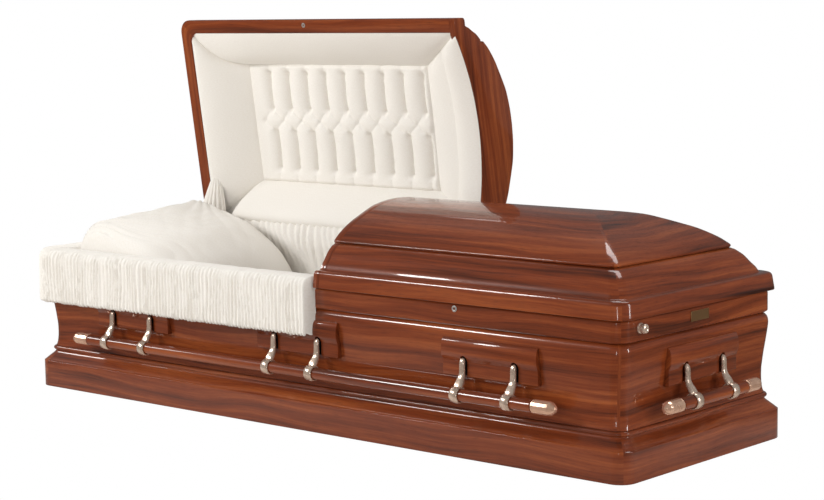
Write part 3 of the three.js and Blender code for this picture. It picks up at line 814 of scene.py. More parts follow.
def rim_section():
    """The rim's whole section, hollowed behind the ogee"""
    rim_top = LID_BOTTOM + RIM_RISE
    rise = OGEE_TOP - rim_top
    inside = [Vector((CROWN_FOOT + shift * MM, rim_top + share * rise)) for shift, share in RIM_HOLLOW]
    inside += [Vector((RIM_UNDERSIDE, rim_top - RIM_RISE / 3)), Vector((RIM_UNDERSIDE, LID_BOTTOM))]
    return eased(rim_outside() + [Vector((GROOVE_INSET, OGEE_TOP))] + inside, closed=True)


def crown_section():
    """The crown's shell as one line, from the ridge's underside round the nosing to the ridge"""
    bottom = OGEE_TOP + PIECE_GAP
    outer = crown_outside()
    inner = []
    for start, middle, stop in zip(outer, outer[1:], outer[2:]):
        along = (stop - start).normalized()
        inner.append(middle + CROWN_THICKNESS * Vector((along.y, -along.x)))
    inner = [point for point in inner if point.x > CROWN_FOOT and point.y > bottom + CROWN_THICKNESS / 2]
    ridge = Vector((HALF_WIDTH, CROWN_TOP - CROWN_THICKNESS))
    line = [ridge, *reversed(inner), Vector((CROWN_FOOT, bottom)), Vector((GROOVE_INSET, bottom)), *outer]
    return eased(line)


def arch_height(across):
    """How far the end board's lower edge rises above the seam"""
    return ARCH_RISE * max(0, 1 - (across / ARCH_HALF_SPAN) ** 2)


def header_board(start):
    """The end board of a lid: the lid's own section above and a low arch below"""
    side = eased(rim_outside() + [Vector((GROOVE_INSET, OGEE_TOP))] + crown_outside())
    outline = [(HALF_WIDTH - inset, height) for inset, height in side]
    outline += [(inset - HALF_WIDTH, height) for inset, height in reversed(side[:-1])]
    for step in range(ARCH_STEPS + 1):
        across = ARCH_HALF_SPAN * (2 * step / ARCH_STEPS - 1)
        outline.append((across, LID_BOTTOM + arch_height(across)))
    bm = bmesh.new()
    face = bm.faces.new([bm.verts.new((start, across, height)) for across, height in outline])
    drawn_out(bm, [face], (HEADER_THICKNESS, 0, 0))
    bmesh.ops.recalc_face_normals(bm, faces=bm.faces)
    rims = [edge for edge in bm.edges if edge.calc_face_angle(0) > HEADER_RIM_TURN and is_level(edge)]
    bevelled(bm, rims, HEADER_EASE)

    def lay(spot, normal):
        if abs(normal.x) > 0.7:
            return spot.y + HEADER_GRAIN, spot.z
        return spot.y + spot.z + HEADER_GRAIN, spot.x

    laid(bm, lay)
    split_large(bm)
    return bm


class CASKET_OT_lids(Operator):
    """Makes each lid's rim, crown and end board"""

    bl_idname = "casket.lids"
    bl_label = "Lids"

    def execute(self, context):
        spans = {
            "foot": (0, 5, HEADER["foot"] + HEADER_THICKNESS + PIECE_GAP, None),
            "head": (4, 9, None, HEADER["head"] - PIECE_GAP),
        }
        for end, (first, last, low, high) in spans.items():
            rim = sweep(rim_section(), first, last, low, high, shift=2.7)
            crown = sweep(crown_section(), first, last, low, high, shift=3.6, closed=False)
            solids = {"rim": rim, "crown": crown, "header": header_board(HEADER[end])}
            for label, solid in solids.items():
                if end == "head":
                    solid.transform(OPENED)
                piece = made("polished_" + end + "_" + label, solid, "polished_mahogany", 40)
                fitted(piece, end + "_lid", "mahogany", end + "_lid_" + label)
        return {"FINISHED"}


# Handles


def wall_inset(height):
    """How far in the wall's face is at a height"""
    line = moulding(WALL_URN, BASE_TOP + PIECE_GAP, WALL_TOP)
    for low, high in zip(line, line[1:]):
        if height <= high.y:
            return low.x + (high.x - low.x) * (height - low.y) / max(high.y - low.y, HAIR)
    return line[-1].x


def slot_cutter(across, depth):
    """A round-topped block that cuts the slot in which an arm hangs"""
    radius = SLOT_WIDTH / 2
    bm = bmesh.new()
    bmesh.ops.create_circle(bm, cap_ends=True, segments=32, radius=radius)
    for vert in bm.verts:
        if vert.co.y < -radius * 0.02:
            vert.co.y -= SLOT_TOP - radius - PLAQUE_BOTTOM + radius
    upright = Matrix.Rotation(math.pi / 2, 4, "X")
    bm.transform(Matrix.Translation((across, -depth, SLOT_TOP - radius)) @ upright)
    drawn_out(bm, bm.faces[:], (0, 2 * INNER_INSET, 0))
    bmesh.ops.translate(bm, verts=bm.verts, vec=(0, -INNER_INSET, 0))
    bmesh.ops.recalc_face_normals(bm, faces=bm.faces)
    return bm


def plaque_board(middle, depth):
    """The moulded board behind a pair of arms, with a slot for each arm"""
    line = moulding(PLAQUE_FACE, PLAQUE_BOTTOM, PLAQUE_TOP)
    for step in range(PLAQUE_BACK_STEPS, -1, -1):
        height = PLAQUE_BOTTOM + (PLAQUE_TOP - PLAQUE_BOTTOM) * step / PLAQUE_BACK_STEPS
        line.append(Vector((wall_inset(height) - PIECE_GAP, height)))
    line = eased(line, closed=True)
    line.append(line[0])
    across = lengths(line)

    def place(column, row):
        inset, height = line[row]
        return middle + (2 * column - 1) * PLAQUE_HALF, inset - depth, height

    board = skin(1, len(line) - 1, place, lambda column, row: (column, across[row]), caps=True)
    ends = [edge for edge in sharp_edges(board, 60) if is_level(edge)]
    bevelled(board, ends, EASE)
    for direction in (-1, 1):
        board = carved(board, slot_cutter(middle + direction * ARM_SPACING / 2, depth))
    board_grain(board, 4.0 + middle)
    return board


def painted_slot_shade(middle, depth):
    """Near-black sheets at the back of a plaque's slots, up from its lower edge, which paint the shade
    inside the slots
    """
    bm = bmesh.new()
    for direction in (-1, 1):
        plate = bmesh.ops.create_grid(bm, x_segments=2, y_segments=8, size=0.5)["verts"]
        for vert in plate:
            height = PLAQUE_BOTTOM + (vert.co.y + 0.5) * (SLOT_TOP - PLAQUE_BOTTOM)
            vert.co = (vert.co.x * SLOT_WIDTH, 0, height)
            vert.co.x += middle + direction * ARM_SPACING / 2
            vert.co.y += wall_inset(vert.co.z) - depth - PIECE_GAP / 2
    return bm


# The arm down its strap and neck, as (inset, height, width, thickness) in millimetres
ARM_SIZES = [
    (-12, 165.7, 25, 9), (-9, 177, 25.4, 12), (-3, 186.5, 24.6, 12.4), (3.5, 196.5, 20.4, 11),
    (6.8, 207, 16.8, 9.6), (7.4, 219, 15.8, 9), (7.6, 232, 15.6, 8.6), (8.8, 238, 14.6, 8),
    (10.8, 242.4, 11.4, 6.6), (13, 245.4, 3, 2),
]


def powered(value, power):
    """A value raised to a power, with its sign kept"""
    return math.copysign(abs(value) ** power, value)


def joined(bm, other):
    """Puts a second bmesh into the first"""
    mesh = mesh_of("joined", other)
    bm.from_mesh(mesh)
    bpy.data.meshes.remove(mesh)


def hanging_arm(across, depth):
    """A cast arm: a strap with a rounded head, a neck that bends outwards and the bar's ring"""
    path = drawn([size[:2] for size in ARM_SIZES], 3)
    sizes = drawn([size[2:] for size in ARM_SIZES], 3)

    def place(column, row):
        inset, height = path[column]
        run = path[min(column + 1, len(path) - 1)] - path[max(column - 1, 0)]
        outward = Vector((-run.y, run.x)).normalized()
        width, thickness = sizes[column]
        angle = TURN * (row % ARM_SIDES) / ARM_SIDES
        wide = powered(math.cos(angle), ARM_FLATNESS) * width / 2
        thick = powered(math.sin(angle), ARM_ROUNDNESS) * thickness / 2
        return across + wide, inset - depth + outward.x * thick, height + outward.y * thick

    bm = skin(len(path) - 1, ARM_SIDES, place, lambda column, row: (0, 0), caps=True)
    grip = Vector((across, -BAR_OUTSET - depth, BAR_HEIGHT))
    inner, outer, half, lip = BAR_RADIUS + PIECE_GAP, BAR_RADIUS + RING_WALL, RING_WIDTH / 2, RING_LIP
    profile = [
        (inner, -half + lip), (inner + lip, -half), (outer - lip, -half), (outer, -half + lip),
        (outer + RING_BULGE, 0), (outer, half - lip), (outer - lip, half), (inner + lip, half),
        (inner, half - lip),
    ]
    count = len(profile)

    def ring(column, row):
        radius, shift = profile[row % count]
        angle = TURN * column / RING_SIDES
        return grip + Vector((shift, radius * math.cos(angle), radius * math.sin(angle)))

    joined(bm, skin(RING_SIDES, count, ring, lambda column, row: (0, 0)))
    return bm


def handle_bar(half, depth):
    """The round wooden bar between its tips"""

    def place(column, row):
        angle = TURN * (row % BAR_SIDES) / BAR_SIDES
        return (
            (2 * column - 1) * half,
            -BAR_OUTSET - depth + BAR_RADIUS * math.cos(angle),
            BAR_HEIGHT + BAR_RADIUS * math.sin(angle),
        )

    def lay(column, row):
        return 2 * column * half + BAR_GRAIN, row / BAR_SIDES * TURN * BAR_RADIUS

    return skin(1, BAR_SIDES, place, lay, caps=True)


def bar_tip(start, direction, depth):
    """A faceted metal end with a groove round its collar and a cut dome"""
    collar = [(TIP_RADIUS - inset * MM, along * MM) for inset, along in TIP_COLLAR]
    dome = [(TIP_RADIUS * share, TIP_LENGTH * along) for share, along in TIP_DOME]
    bm = revolved([(0, 0), *collar, *dome], TIP_FACETS)
    bevelled(bm, sharp_edges(bm, TIP_FACET_TURN), 0.5 * MM)
    bm.transform(Matrix.Rotation(TURN / TIP_FACETS / 2, 4, "X"))
    if direction < 0:
        bm.transform(Matrix.Rotation(math.pi, 4, "Z"))
    bm.transform(Matrix.Translation((start, -BAR_OUTSET - depth, BAR_HEIGHT)))
    return bm


class CASKET_OT_handles(Operator):
    """Makes the plaques, arms, bars and tips on every side"""

    bl_idname = "casket.handles"
    bl_label = "Handles"

    def execute(self, context):
        for side, (turn, depth, middles) in SIDES.items():
            turned = Matrix.Rotation(turn, 4, "Z")
            body = side + "_bar"
            for index, middle in enumerate(middles):
                label = side + "_" + str(index + 1)
                # Near-black sheets behind each plaque's slots paint the shade inside them
                plaque, slot_shade_sheet = plaque_board(middle, depth), painted_slot_shade(middle, depth)
                for solid in (plaque, slot_shade_sheet):
                    solid.transform(turned)
                piece = made("moulded_plaque_" + label, plaque, "polished_mahogany")
                fitted(piece, "root", "mahogany", "plaque_" + label)
                fitted(made("painted_slot_shade_" + label, slot_shade_sheet, "painted_shade_black"), "root", "small_brass")
                for letter, direction in (("a", -1), ("b", 1)):
                    arm = hanging_arm(middle + direction * ARM_SPACING / 2, depth)
                    arm.transform(turned)
                    piece = made("cast_arm_" + label + letter, arm, "antique_bronze", 50)
                    fitted(piece, body, "handle_bronze", "arm_" + label + letter)
            half = bar_half(side) - TIP_LENGTH
            bar = handle_bar(half - PIECE_GAP, depth)
            bar.transform(turned)
            fitted(made("polished_bar_" + side, bar, "polished_mahogany"), body, "mahogany", "bar_" + side)
            for letter, direction in (("a", -1), ("b", 1)):
                tip = bar_tip(direction * half, direction, depth)
                tip.transform(turned)
                piece = made("faceted_tip_" + side + "_" + letter, tip, "rose_copper", 8)
                fitted(piece, body, "tip_copper", "tip_" + side + "_" + letter)
        return {"FINISHED"}


def bar_half(side):
    """Half of a handle's length, from its two tips"""
    axis = 0 if side in ("front", "back") else 1
    ends = [corner[axis] for letter in "ab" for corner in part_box("tip_" + side + "_" + letter)]
    return (max(ends) - min(ends)) / 2


# Small fittings


class CASKET_OT_fittings(Operator):
    """Makes the screw cap, the bare plate, the lock's two plates and finishes the hinges"""

    bl_idname = "casket.fittings"
    bl_label = "Small Fittings"

    def execute(self, context):
        knurled_cap()
        bare_plate()
        rail_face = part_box("top_rail")[0].y
        lock = escutcheon(8 * MM, 3.2 * MM, 1.6 * MM)
        lock.transform(Matrix.Translation((LOCK_X, rail_face, LOCK_HEIGHT)))
        fitted(made("lock_escutcheon", lock, "grey_nickel", 40), "root", "small_brass")
        keeper = escutcheon(7 * MM, 2.6 * MM, 0.4 * MM)
        keeper.transform(Matrix.Rotation(math.pi / 2, 4, "X"))
        keeper.transform(Matrix.Translation((KEEPER_X, HINGE.y - KEEPER_REACH, LID_BOTTOM)))
        keeper.transform(OPENED)
        fitted(made("lock_keeper", keeper, "grey_nickel", 40), "head_lid", "small_brass")
        for end in ("head", "foot"):
            for leaf in ("fixed", "lid"):
                node = frame["nodes"][end + "_hinge_" + leaf + "_leaf"]
                node.data.materials.clear()
                node.data.materials.append(bpy.data.materials["small_brass"])
        return {"FINISHED"}


def knurled_cap():
    """The cap over the foot end's screw, with a knurled edge and a dished face"""
    low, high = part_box("screw_cap")
    radius, reach = (high.z - low.z) / 2, high.x - low.x
    cap_mesh = revolved([(radius * share, reach * along) for share, along in CAP_PROFILE], 48)
    for vert in cap_mesh.verts:
        if reach * 0.3 < vert.co.x < reach * 0.9:
            knurl = 1 + KNURL_DEPTH * math.cos(KNURLS * math.atan2(vert.co.z, vert.co.y))
            vert.co.y *= knurl
            vert.co.z *= knurl
    cap_mesh.transform(Matrix.Translation((low.x, (low.y + high.y) / 2, (low.z + high.z) / 2)))
    fitted(made("knurled_cap", cap_mesh, "antique_bronze", 40), "root", "tip_copper", "screw_cap")


def bare_plate():
    """The unmarked plate on the foot end's rail, sunk inside its border"""
    low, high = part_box("blank_plate")
    plate = block(low, high)
    outer = [face for face in plate.faces if face.normal.x > 0.9]
    bmesh.ops.inset_region(plate, faces=outer, thickness=1.6 * MM, depth=0)
    bmesh.ops.inset_region(plate, faces=outer, thickness=0.5 * MM, depth=-0.4 * MM)
    bevelled(plate, sharp_edges(plate, 60), 0.3 * MM)
    fitted(made("bare_plate", plate, "small_brass"), "root", "small_brass", "blank_plate")


def escutcheon(outer, inner, reach):
    """A small turned ring with a sunk middle, facing the front"""
    profile = [
        (0, -reach), (inner, -reach), (inner, reach * 0.5), (inner * 1.3, reach), (outer * 0.8, reach),
        (outer, reach * 0.4), (outer, -reach), (0, -reach),
    ]
    return revolved(profile, 32, axis="Y")


# Cloth

# Gathered folds: the crest's shape, how far they drift, their strength and the smaller folds in them
FOLD_CREST = 0.75
FOLD_DRIFT = 0.9
FOLD_STRENGTH, FOLD_VARIATION = 0.85, 0.5
FINE_FOLD, FINE_RATE = 0.18, 2.3


def ridge(phase):
    """One gathered fold: a round crest between two narrow valleys"""
    return 2 * abs(math.sin(math.pi * phase)) ** FOLD_CREST - 1


def gathers(run, height, pitch, seed):
    """Irregular gathered folds, about one high and one low"""
    folds = run / pitch
    sway = wander(folds / 4, height * 7, seed)
    phase = folds + FOLD_DRIFT * sway
    strength = FOLD_STRENGTH + FOLD_VARIATION * wander(folds / 2.5, height * 5, seed + 9)
    return (ridge(phase) + FINE_FOLD * ridge(FINE_RATE * phase + sway)) * strength


def apron_plan(station, inset):
    """The apron's line round the head end and along the front, softer than the wood at the corner"""
    radius = max(APRON_RADIUS - inset, LEAST_RADIUS)
    middle = Vector((inset + radius - HALF_LENGTH, inset + radius - HALF_WIDTH))
    if station < 1:
        return Vector((middle.x - radius, APRON_BACK_Y + (middle.y - APRON_BACK_Y) * station))
    if station < 2:
        angle = math.pi + (station - 1) * math.pi / 2
        return middle + radius * Vector((math.cos(angle), math.sin(angle)))
    return Vector((middle.x + (APRON_FOOT_X - middle.x) * (station - 2), middle.y - radius))


def apron_stations(spacing):
    """Evenly spaced stops along the apron's outer line"""
    parts = []
    for part in range(3):
        start = apron_plan(part, -APRON_OUTSET)
        stop = apron_plan(part + 1 - HAIR, -APRON_OUTSET)
        steps = max(8, round((stop - start).length / spacing))
        parts += [part + step / steps for step in range(steps)]
    return parts + [3 - HAIR]


# The apron's stops, the slow waver of its face and the hold at its two ends
APRON_SPACING = 2.6 * MM
APRON_WAVER = 2.5 * MM
APRON_SEED = 11.0
TUCK_REACH = 7 * MM
TUCK_INSET = 22 * MM


def apron_strip(points, steps, depth_at):
    """Cloth that follows the apron's line, through points of (inset in millimetres, height)"""
    cloth = bpy.context.scene.casket_cloth
    section = flowing([Vector((inset * MM, height)) for inset, height in points], steps)
    marks = apron_stations(APRON_SPACING)
    run = lengths([apron_plan(mark, -APRON_OUTSET) for mark in marks])
    across = lengths(section)

    def place(column, row):
        inset, height = section[row]
        before, after = section[max(row - 1, 0)], section[min(row + 1, len(section) - 1)]
        along = Vector((0, 1)) if abs(height - APRON_SEAM) < HAIR else (after - before).normalized()
        depth = depth_at(across[row] / across[-1])
        fold = gathers(run[column], height, cloth.gather, APRON_SEED) * depth
        waver = wander(run[column] * 5, height * 4, APRON_SEED + 3) * APRON_WAVER
        out = fold * cloth.gather_depth + waver * depth
        moved = Vector((inset, height)) + Vector((-along.y, along.x)) * out
        end = min(run[column], run[-1] - run[column])
        tuck = max(0, 1 - end / TUCK_REACH) ** 2
        moved.x += max(0, TUCK_INSET - moved.x) * tuck
        moved.y += min(0, APRON_SEAM - moved.y) * tuck
        return (*apron_plan(marks[column], moved.x), moved.y)

    return skin(len(marks) - 1, len(section) - 1, place, lambda c, r: (run[c], across[r]))


class CASKET_OT_apron(Operator):
    """Makes the gathered apron that folds over the front and head rails"""

    bl_idname = "casket.apron"
    bl_label = "Apron"

    def execute(self, context):
        seam = APRON_SEAM
        hem = [
            (-9, APRON_BOTTOM + 9 * MM), (-9.5, APRON_BOTTOM + 4 * MM), (-12, APRON_BOTTOM),
            (-15, APRON_BOTTOM + 2 * MM), (-16, APRON_BOTTOM + 8 * MM), (-16, APRON_BOTTOM + 30 * MM),
            (-16, 0.33), (-16, seam),
        ]
        skirt = apron_strip(hem, 6, lambda share: 1 + 0.4 * (1 - share) ** 3)
        skirt_piece = made("apron_skirt", skirt, "gathered_crepe", 80)
        fitted(skirt_piece, "root", "lining_cloth", "apron")
        roll = [
            (-16, seam), (-15.4, seam + 10 * MM), (-11, seam + 20 * MM), (-1, seam + 28 * MM),
            (25, seam + 30 * MM), (52, seam + 27 * MM), (66, seam + 15 * MM), (69, seam + 1 * MM),
        ]
        fold = apron_strip(roll, 5, lambda share: 1 - 0.5 * hump(share) ** 2)
        fold_piece = made("apron_fold", fold, "gathered_crepe", 80)
        fitted(fold_piece, "root", "lining_cloth", "apron")
        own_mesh(fold_piece)
        return {"FINISHED"}


class CASKET_OT_lining(Operator):
    """Makes the shirred wall lining, the mattress and the plain lining of the foot lid"""

    bl_idname = "casket.lining"
    bl_label = "Lining and Mattress"

    def execute(self, context):
        wall_lining()
        mattress_piece()
        foot_lid_lining()
        return {"FINISHED"}


# The wall lining's stops, its folds' depth, pitch and seed, and the rise over which they reach it
LINING_SPACING = 4.5 * MM
LINING_DEPTH = 2.6 * MM
LINING_PITCH = 0.8
LINING_SEED = 31.0
LINING_RISE = 40 * MM


def wall_lining():
    """The shirred cloth round the inside of the walls"""
    cloth = bpy.context.scene.casket_cloth
    outer, inner = LINING_OUTER, LINING_INNER
    top = RAIL_TOP - 3 * MM
    rise = [
        (outer + 1 * MM, top - 30 * MM), (outer + 1 * MM, top - 3 * MM), (outer + 5 * MM, top),
        (inner - 2 * MM, top - 3 * MM), (inner, top - 12 * MM), (inner, MATTRESS_TOP),
        (inner, MATTRESS_TOP - 30 * MM),
    ]
    line = flowing([Vector(point) for point in rise])
    across = lengths(line)
    marks = []
    for part in range(8):
        length = (plan_point(part + 1 - HAIR, inner) - plan_point(part, inner)).length
        steps = max(4, round(length / LINING_SPACING))
        marks += [part + step / steps for step in range(steps)]
    marks.append(8)
    run = lengths([plan_point(mark, inner) for mark in marks])

    def place(column, row):
        inset, height = line[row]
        depth = min(1, across[row] / LINING_RISE) * LINING_DEPTH
        fold = gathers(run[column] % run[-1], height, cloth.gather * LINING_PITCH, LINING_SEED)
        seam = min(1, 12 * min(column, len(marks) - 1 - column) / len(marks))
        return (*plan_point(marks[column], inset + fold * depth * seam), height)

    bm = skin(len(marks) - 1, len(line) - 1, place, lambda c, r: (run[c], across[r]))
    lining = made("shirred_wall_lining", bm, "gathered_crepe", 80)
    fitted(lining, "root", "lining_cloth", "wall_lining")


# The mattress: how square its outline is along each axis, its crown and its unevenness
MATTRESS_POWERS = (14, 6, 4)
MATTRESS_CROWN = 0.06
MATTRESS_QUILTING = 1.5 * MM


def mattress_piece():
    """A low quilted mattress with rounded sides"""
    low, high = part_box("mattress")
    middle, half = (low + high) / 2, (high - low) / 2
    bm = bmesh.new()
    bmesh.ops.create_cube(bm, size=2)
    bmesh.ops.subdivide_edges(bm, edges=bm.edges[:], cuts=40, use_grid_fill=True)
    for vert in bm.verts:
        x, y, z = vert.co
        reach = sum(abs(side) ** power for side, power in zip((x, y, z), MATTRESS_POWERS)) ** (1 / 8)
        shape = Vector((x, y, z)) / max(1, reach)
        crown = 1 if z < 0 else 1 - MATTRESS_CROWN * (x * x + y * y) / 2
        swell = MATTRESS_QUILTING * wander(x * 14, y * 5, z)
        rise = shape.z * half.z * crown + swell - 2 * MM
        vert.co = middle + Vector((shape.x * half.x, shape.y * half.y, rise))
    laid(bm, lambda spot, normal: (spot.x, spot.y + spot.z))
    piece = made("mattress_cover", bm, "smooth_crepe", 80)
    fitted(piece, "root", "mattress_cloth", "mattress")


# The foot lid's lining: its height over the seam, how square its dome is and how soon it rises
FOOT_LINING_GRID = (60, 40)
FOOT_LINING_HEIGHT = 98 * MM
FOOT_LINING_SQUARE = 3.5
FOOT_LINING_RISE = 0.6


def foot_lid_lining():
    """Plain cloth stretched inside the foot lid"""
    columns, rows = FOOT_LINING_GRID
    reach = RIM_UNDERSIDE + 4 * MM
    west, east = HEADER["foot"] + HEADER_THICKNESS + 2 * MM, HALF_LENGTH - reach
    half = HALF_WIDTH - reach

    def place(column, row):
        u, v = column / columns, row / rows
        x, y = west + (east - west) * u, half * (2 * v - 1)
        along, across = (1 - abs(2 * share - 1) ** FOOT_LINING_SQUARE for share in (u, v))
        near_header = arch_height(y) * (1 - u) ** 6
        rise = max(FOOT_LINING_HEIGHT * (along * across) ** FOOT_LINING_RISE, near_header)
        return x, y, LID_BOTTOM + 3 * MM + rise

    def lay(column, row):
        return column / columns * (east - west), row / rows * 2 * half

    piece = made("foot_lid_lining", skin(columns, rows, place, lay), "smooth_crepe", 80)
    fitted(piece, "foot_lid", "lining_cloth")


# The pillow's upper line as (x, height) in millimetres, how much lower its near corner is, and the
# two corners that pull it, each as (place, number of folds, their depth)
PILLOW_TOP = [
    (-985, 529), (-900, 506), (-803, 477), (-721, 451), (-660, 414), (-612, 378), (-575, 332), (-548, 286),
]
PILLOW_TILT = 54 * MM
PILLOW_PULLS = [(Vector((-1.0, -0.25)), 22, 10 * MM), (Vector((-1.0, 0.27)), 17, 6 * MM)]
PILLOW_GRID = (120, 90)
PILLOW_SPREAD = 1.7
PILLOW_SQUARE = {"side": 14, "end": 16}
PILLOW_EDGE = 0.3
CREASE_FADE = 0.2
CREASE_START = 0.05
PILLOW_WAVER = 2.5 * MM


def pillow_creases(x, y):
    """Folds that run out from the pillow's two pulled corners and fade"""
    rise = 0.0
    for corner, count, depth in PILLOW_PULLS:
        away = Vector((x, y)) - corner
        reach = away.length
        angle = math.atan2(away.y, away.x) + 0.25 * wander(x * 6, y * 6, count)
        fade = min(1, reach / CREASE_START) * math.exp(-reach / CREASE_FADE)
        drift = 0.7 * wander(angle * 3, 0, count)
        rise += depth * fade * ridge(count * angle / math.pi + drift)
    return rise + PILLOW_WAVER * wander(x * 8 + y * 5, y * 20 - x * 5, 4.0)


class CASKET_OT_pillow(Operator):
    """Makes the tilted pillow at the head end"""

    bl_idname = "casket.pillow"
    bl_label = "Pillow"

    def execute(self, context):
        columns, half_rows = PILLOW_GRID
        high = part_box("pillow")[1]
        curve = drawn(PILLOW_TOP, 10)
        bottom = MATTRESS_TOP + 1.5 * MM

        def place(column, row):
            upper = row <= half_rows
            u = column / columns
            v = row / half_rows if upper else 2 - row / half_rows
            along, across = (
                math.copysign(1 - (1 - abs(2 * share - 1)) ** PILLOW_SPREAD, 2 * share - 1)
                for share in (u, v)
            )
            step = (along + 1) / 2 * (len(curve) - 1)
            first = math.floor(step)
            x, top = curve[first].lerp(curve[min(first + 1, len(curve) - 1)], step % 1)
            y = across * (high.y - 8 * MM) * (1 - 0.03 * abs(along) ** 3)
            if not upper:
                return x, y, bottom
            side = (1 - abs(across) ** PILLOW_SQUARE["side"]) ** PILLOW_EDGE
            end = (1 - abs(along) ** PILLOW_SQUARE["end"]) ** PILLOW_EDGE
            top -= PILLOW_TILT * (0.25 - y) / 0.52 * (1 - u) ** 0.7
            edge = (side ** -6 + end ** -6 - 1) ** (-1 / 6) if min(side, end) > 0.02 else 0
            return x, y, bottom + (top - bottom + pillow_creases(x, y)) * edge

        def lay(column, row):
            return column / columns * 0.52, row / half_rows * 0.56

        bm = skin(columns, 2 * half_rows, place, lay)
        piece = made("head_pillow", bm, "smooth_crepe", 80)
        fitted(piece, "root", "mattress_cloth", "pillow")
        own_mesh(piece)
        return {"FINISHED"}


# Head lid's lining


# Distances from the hinge of the rows of tufts, from the front: two straight, one between, two straight
TUFT_ROWS = (0.502, 0.393, 0.355, 0.321, 0.207)
BETWEEN_ROW = 2
SLANT_CREASE = 0.34
EDGE_CREASE = 0.3
CREASE_REACH = 0.05
TUFT_FULLNESS = 0.62


def tuft_rows():
    """Rows of tufts on the lid's panel, as (places along the lid, distance from the hinge)"""
    count = bpy.context.scene.casket_cloth.tuft_columns
    straight = [PANEL_WEST + TUFT_MARGIN + TUFT_PITCH * index for index in range(count)]
    between = [x - TUFT_PITCH / 2 for x in straight] + [straight[-1] + TUFT_PITCH / 2]
    return [(between if row == BETWEEN_ROW else straight, away) for row, away in enumerate(TUFT_ROWS)]


def tuft_creases():
    """The creases between tufts, as (start, stop, weight) with points of (x, distance from the hinge)"""
    rows = tuft_rows()
    creases = []
    for (upper, high), (lower, low) in zip(rows, rows[1:]):
        for x in upper:
            for other in lower:
                if abs(other - x) < TUFT_PITCH * 0.6:
                    weight = 1 if abs(other - x) < HAIR else SLANT_CREASE
                    creases.append((Vector((x, high)), Vector((other, low)), weight))
    for (line, distance), panel_edge in ((rows[0], PANEL_SOUTH), (rows[-1], PANEL_NORTH)):
        edge = HINGE.y - panel_edge
        creases += [(Vector((x, distance)), Vector((x, edge)), EDGE_CREASE) for x in line]
    return creases


def tuft_swell(spot, creases):
    """How full the padding is at a spot, from nothing in a crease to one between two"""
    least = 1.0
    for start, stop, weight in creases:
        if not min(start.x, stop.x) - CREASE_REACH <= spot.x <= max(start.x, stop.x) + CREASE_REACH:
            continue
        along = stop - start
        share = min(1, max(0, (spot - start).dot(along) / along.length_squared))
        away = min(1, (spot - start - along * share).length / (TUFT_PITCH / 2))
        full = (1 - (1 - away) ** 2) ** TUFT_FULLNESS
        least = min(least, 1 - weight * (1 - full))
    return least


# The tufted panel: its creases' bow, the dip at each button, its rounded border and its unevenness
PANEL_GRID = (280, 146)
TUFT_BOW = 4 * MM
TUFT_DIP = 4 * MM
DIP_REACH = 7 * MM
PANEL_ROUNDING = 14 * MM
PANEL_WAVER = 1.2 * MM


class CASKET_OT_lid_lining(Operator):
    """Makes the tufted panel of the head lid, the padded borders round it and the cloth at its hinge"""

    bl_idname = "casket.lid_lining"
    bl_label = "Head Lid Lining"

    def execute(self, context):
        tufted_panel()
        buttons()
        lid_borders()
        hinge_cushion()
        hinge_band()
        corner_gather()
        return {"FINISHED"}


def tufted_panel():
    """The padded panel in the middle of the head lid, held down by its tufts and their creases"""
    depth = bpy.context.scene.casket_cloth.tuft_depth
    creases = tuft_creases()
    columns, rows = PANEL_GRID
    west, east = PANEL_WEST - PANEL_TUCK, PANEL_EAST + PANEL_TUCK
    south, north = PANEL_SOUTH - PANEL_TUCK, PANEL_NORTH + PANEL_TUCK
    pits = [Vector((x, distance)) for line, distance in tuft_rows() for x in line]

    def place(column, row):
        x, y = west + (east - west) * column / columns, south + (north - south) * row / rows
        spot = Vector((x, HINGE.y - y))
        bow = TUFT_BOW * math.sin(TURN * (spot.y - 0.357) / 0.29)
        swell = tuft_swell(Vector((spot.x + bow, spot.y)), creases)
        near = [(spot - pit).length for pit in pits if abs(pit.x - x) < 0.03]
        dip = sum(math.exp(-(away / DIP_REACH) ** 2) for away in near)
        edge = min(x - west, east - x, y - south, north - y)
        hold = min(1, edge / PANEL_ROUNDING) ** 0.5
        soft = PANEL_WAVER * wander(x * 25, y * 12, 8.0)
        return x, y, PANEL_FACE - (depth * swell + soft) * hold + TUFT_DIP * dip

    def lay(column, row):
        return (east - west) * column / columns, (north - south) * row / rows

    piece = lid_cloth("tufted_panel", skin(columns, rows, place, lay), 80, "head_lid_lining")


def buttons():
    """A small covered button at each tuft that is on the panel"""
    bm = bmesh.new()
    for line, distance in tuft_rows():
        for x in line:
            if not PANEL_WEST + 8 * MM < x < PANEL_EAST - 8 * MM:
                continue
            spot = (x, HINGE.y - distance, PANEL_FACE + 1 * MM)
            place = Matrix.LocRotScale(spot, None, (1, 1, 0.6))
            bmesh.ops.create_uvsphere(bm, u_segments=12, v_segments=8, radius=3 * MM, matrix=place)
    lid_cloth("covered_buttons", bm, 80)


# The borders' sides in order, then the reach of a mitre's seam and of the wrap round the end board
HEADER_SIDE, HINGE_SIDE, HEAD_SIDE, FRONT_SIDE = range(4)
BORDER_GRID = (60, 28)
BORDER_MITRE = 70 * MM
BORDER_WRAP = 5 * MM
BORDER_WAVER = 1.5 * MM
FRONT_BOW = Vector((-10 * MM, 28 * MM))


def lid_cloth(name, bm, crease, *nodes):
    """A piece of the head lid's smooth cloth, shaped closed and turned open"""
    bm.transform(OPENED)
    return fitted(made(name, bm, "smooth_crepe", crease), "head_lid", "lining_cloth", *nodes)


def border_swell(side, deep):
    """How far a border stands out on its way in from the rim"""
    if side == HEADER_SIDE:
        roll, flat = 17 * MM, 7 * MM
        if deep < 0.5:
            return roll * hump(deep / 0.5) ** 0.8
        return flat * hump((deep - 0.5) / 0.5) ** 0.8
    if side == HINGE_SIDE:
        return 6 * MM * hump(deep)
    if side == HEAD_SIDE:
        return 16 * MM * hump(deep ** 0.75) ** 0.8
    return 12 * MM * hump(deep) ** 0.8


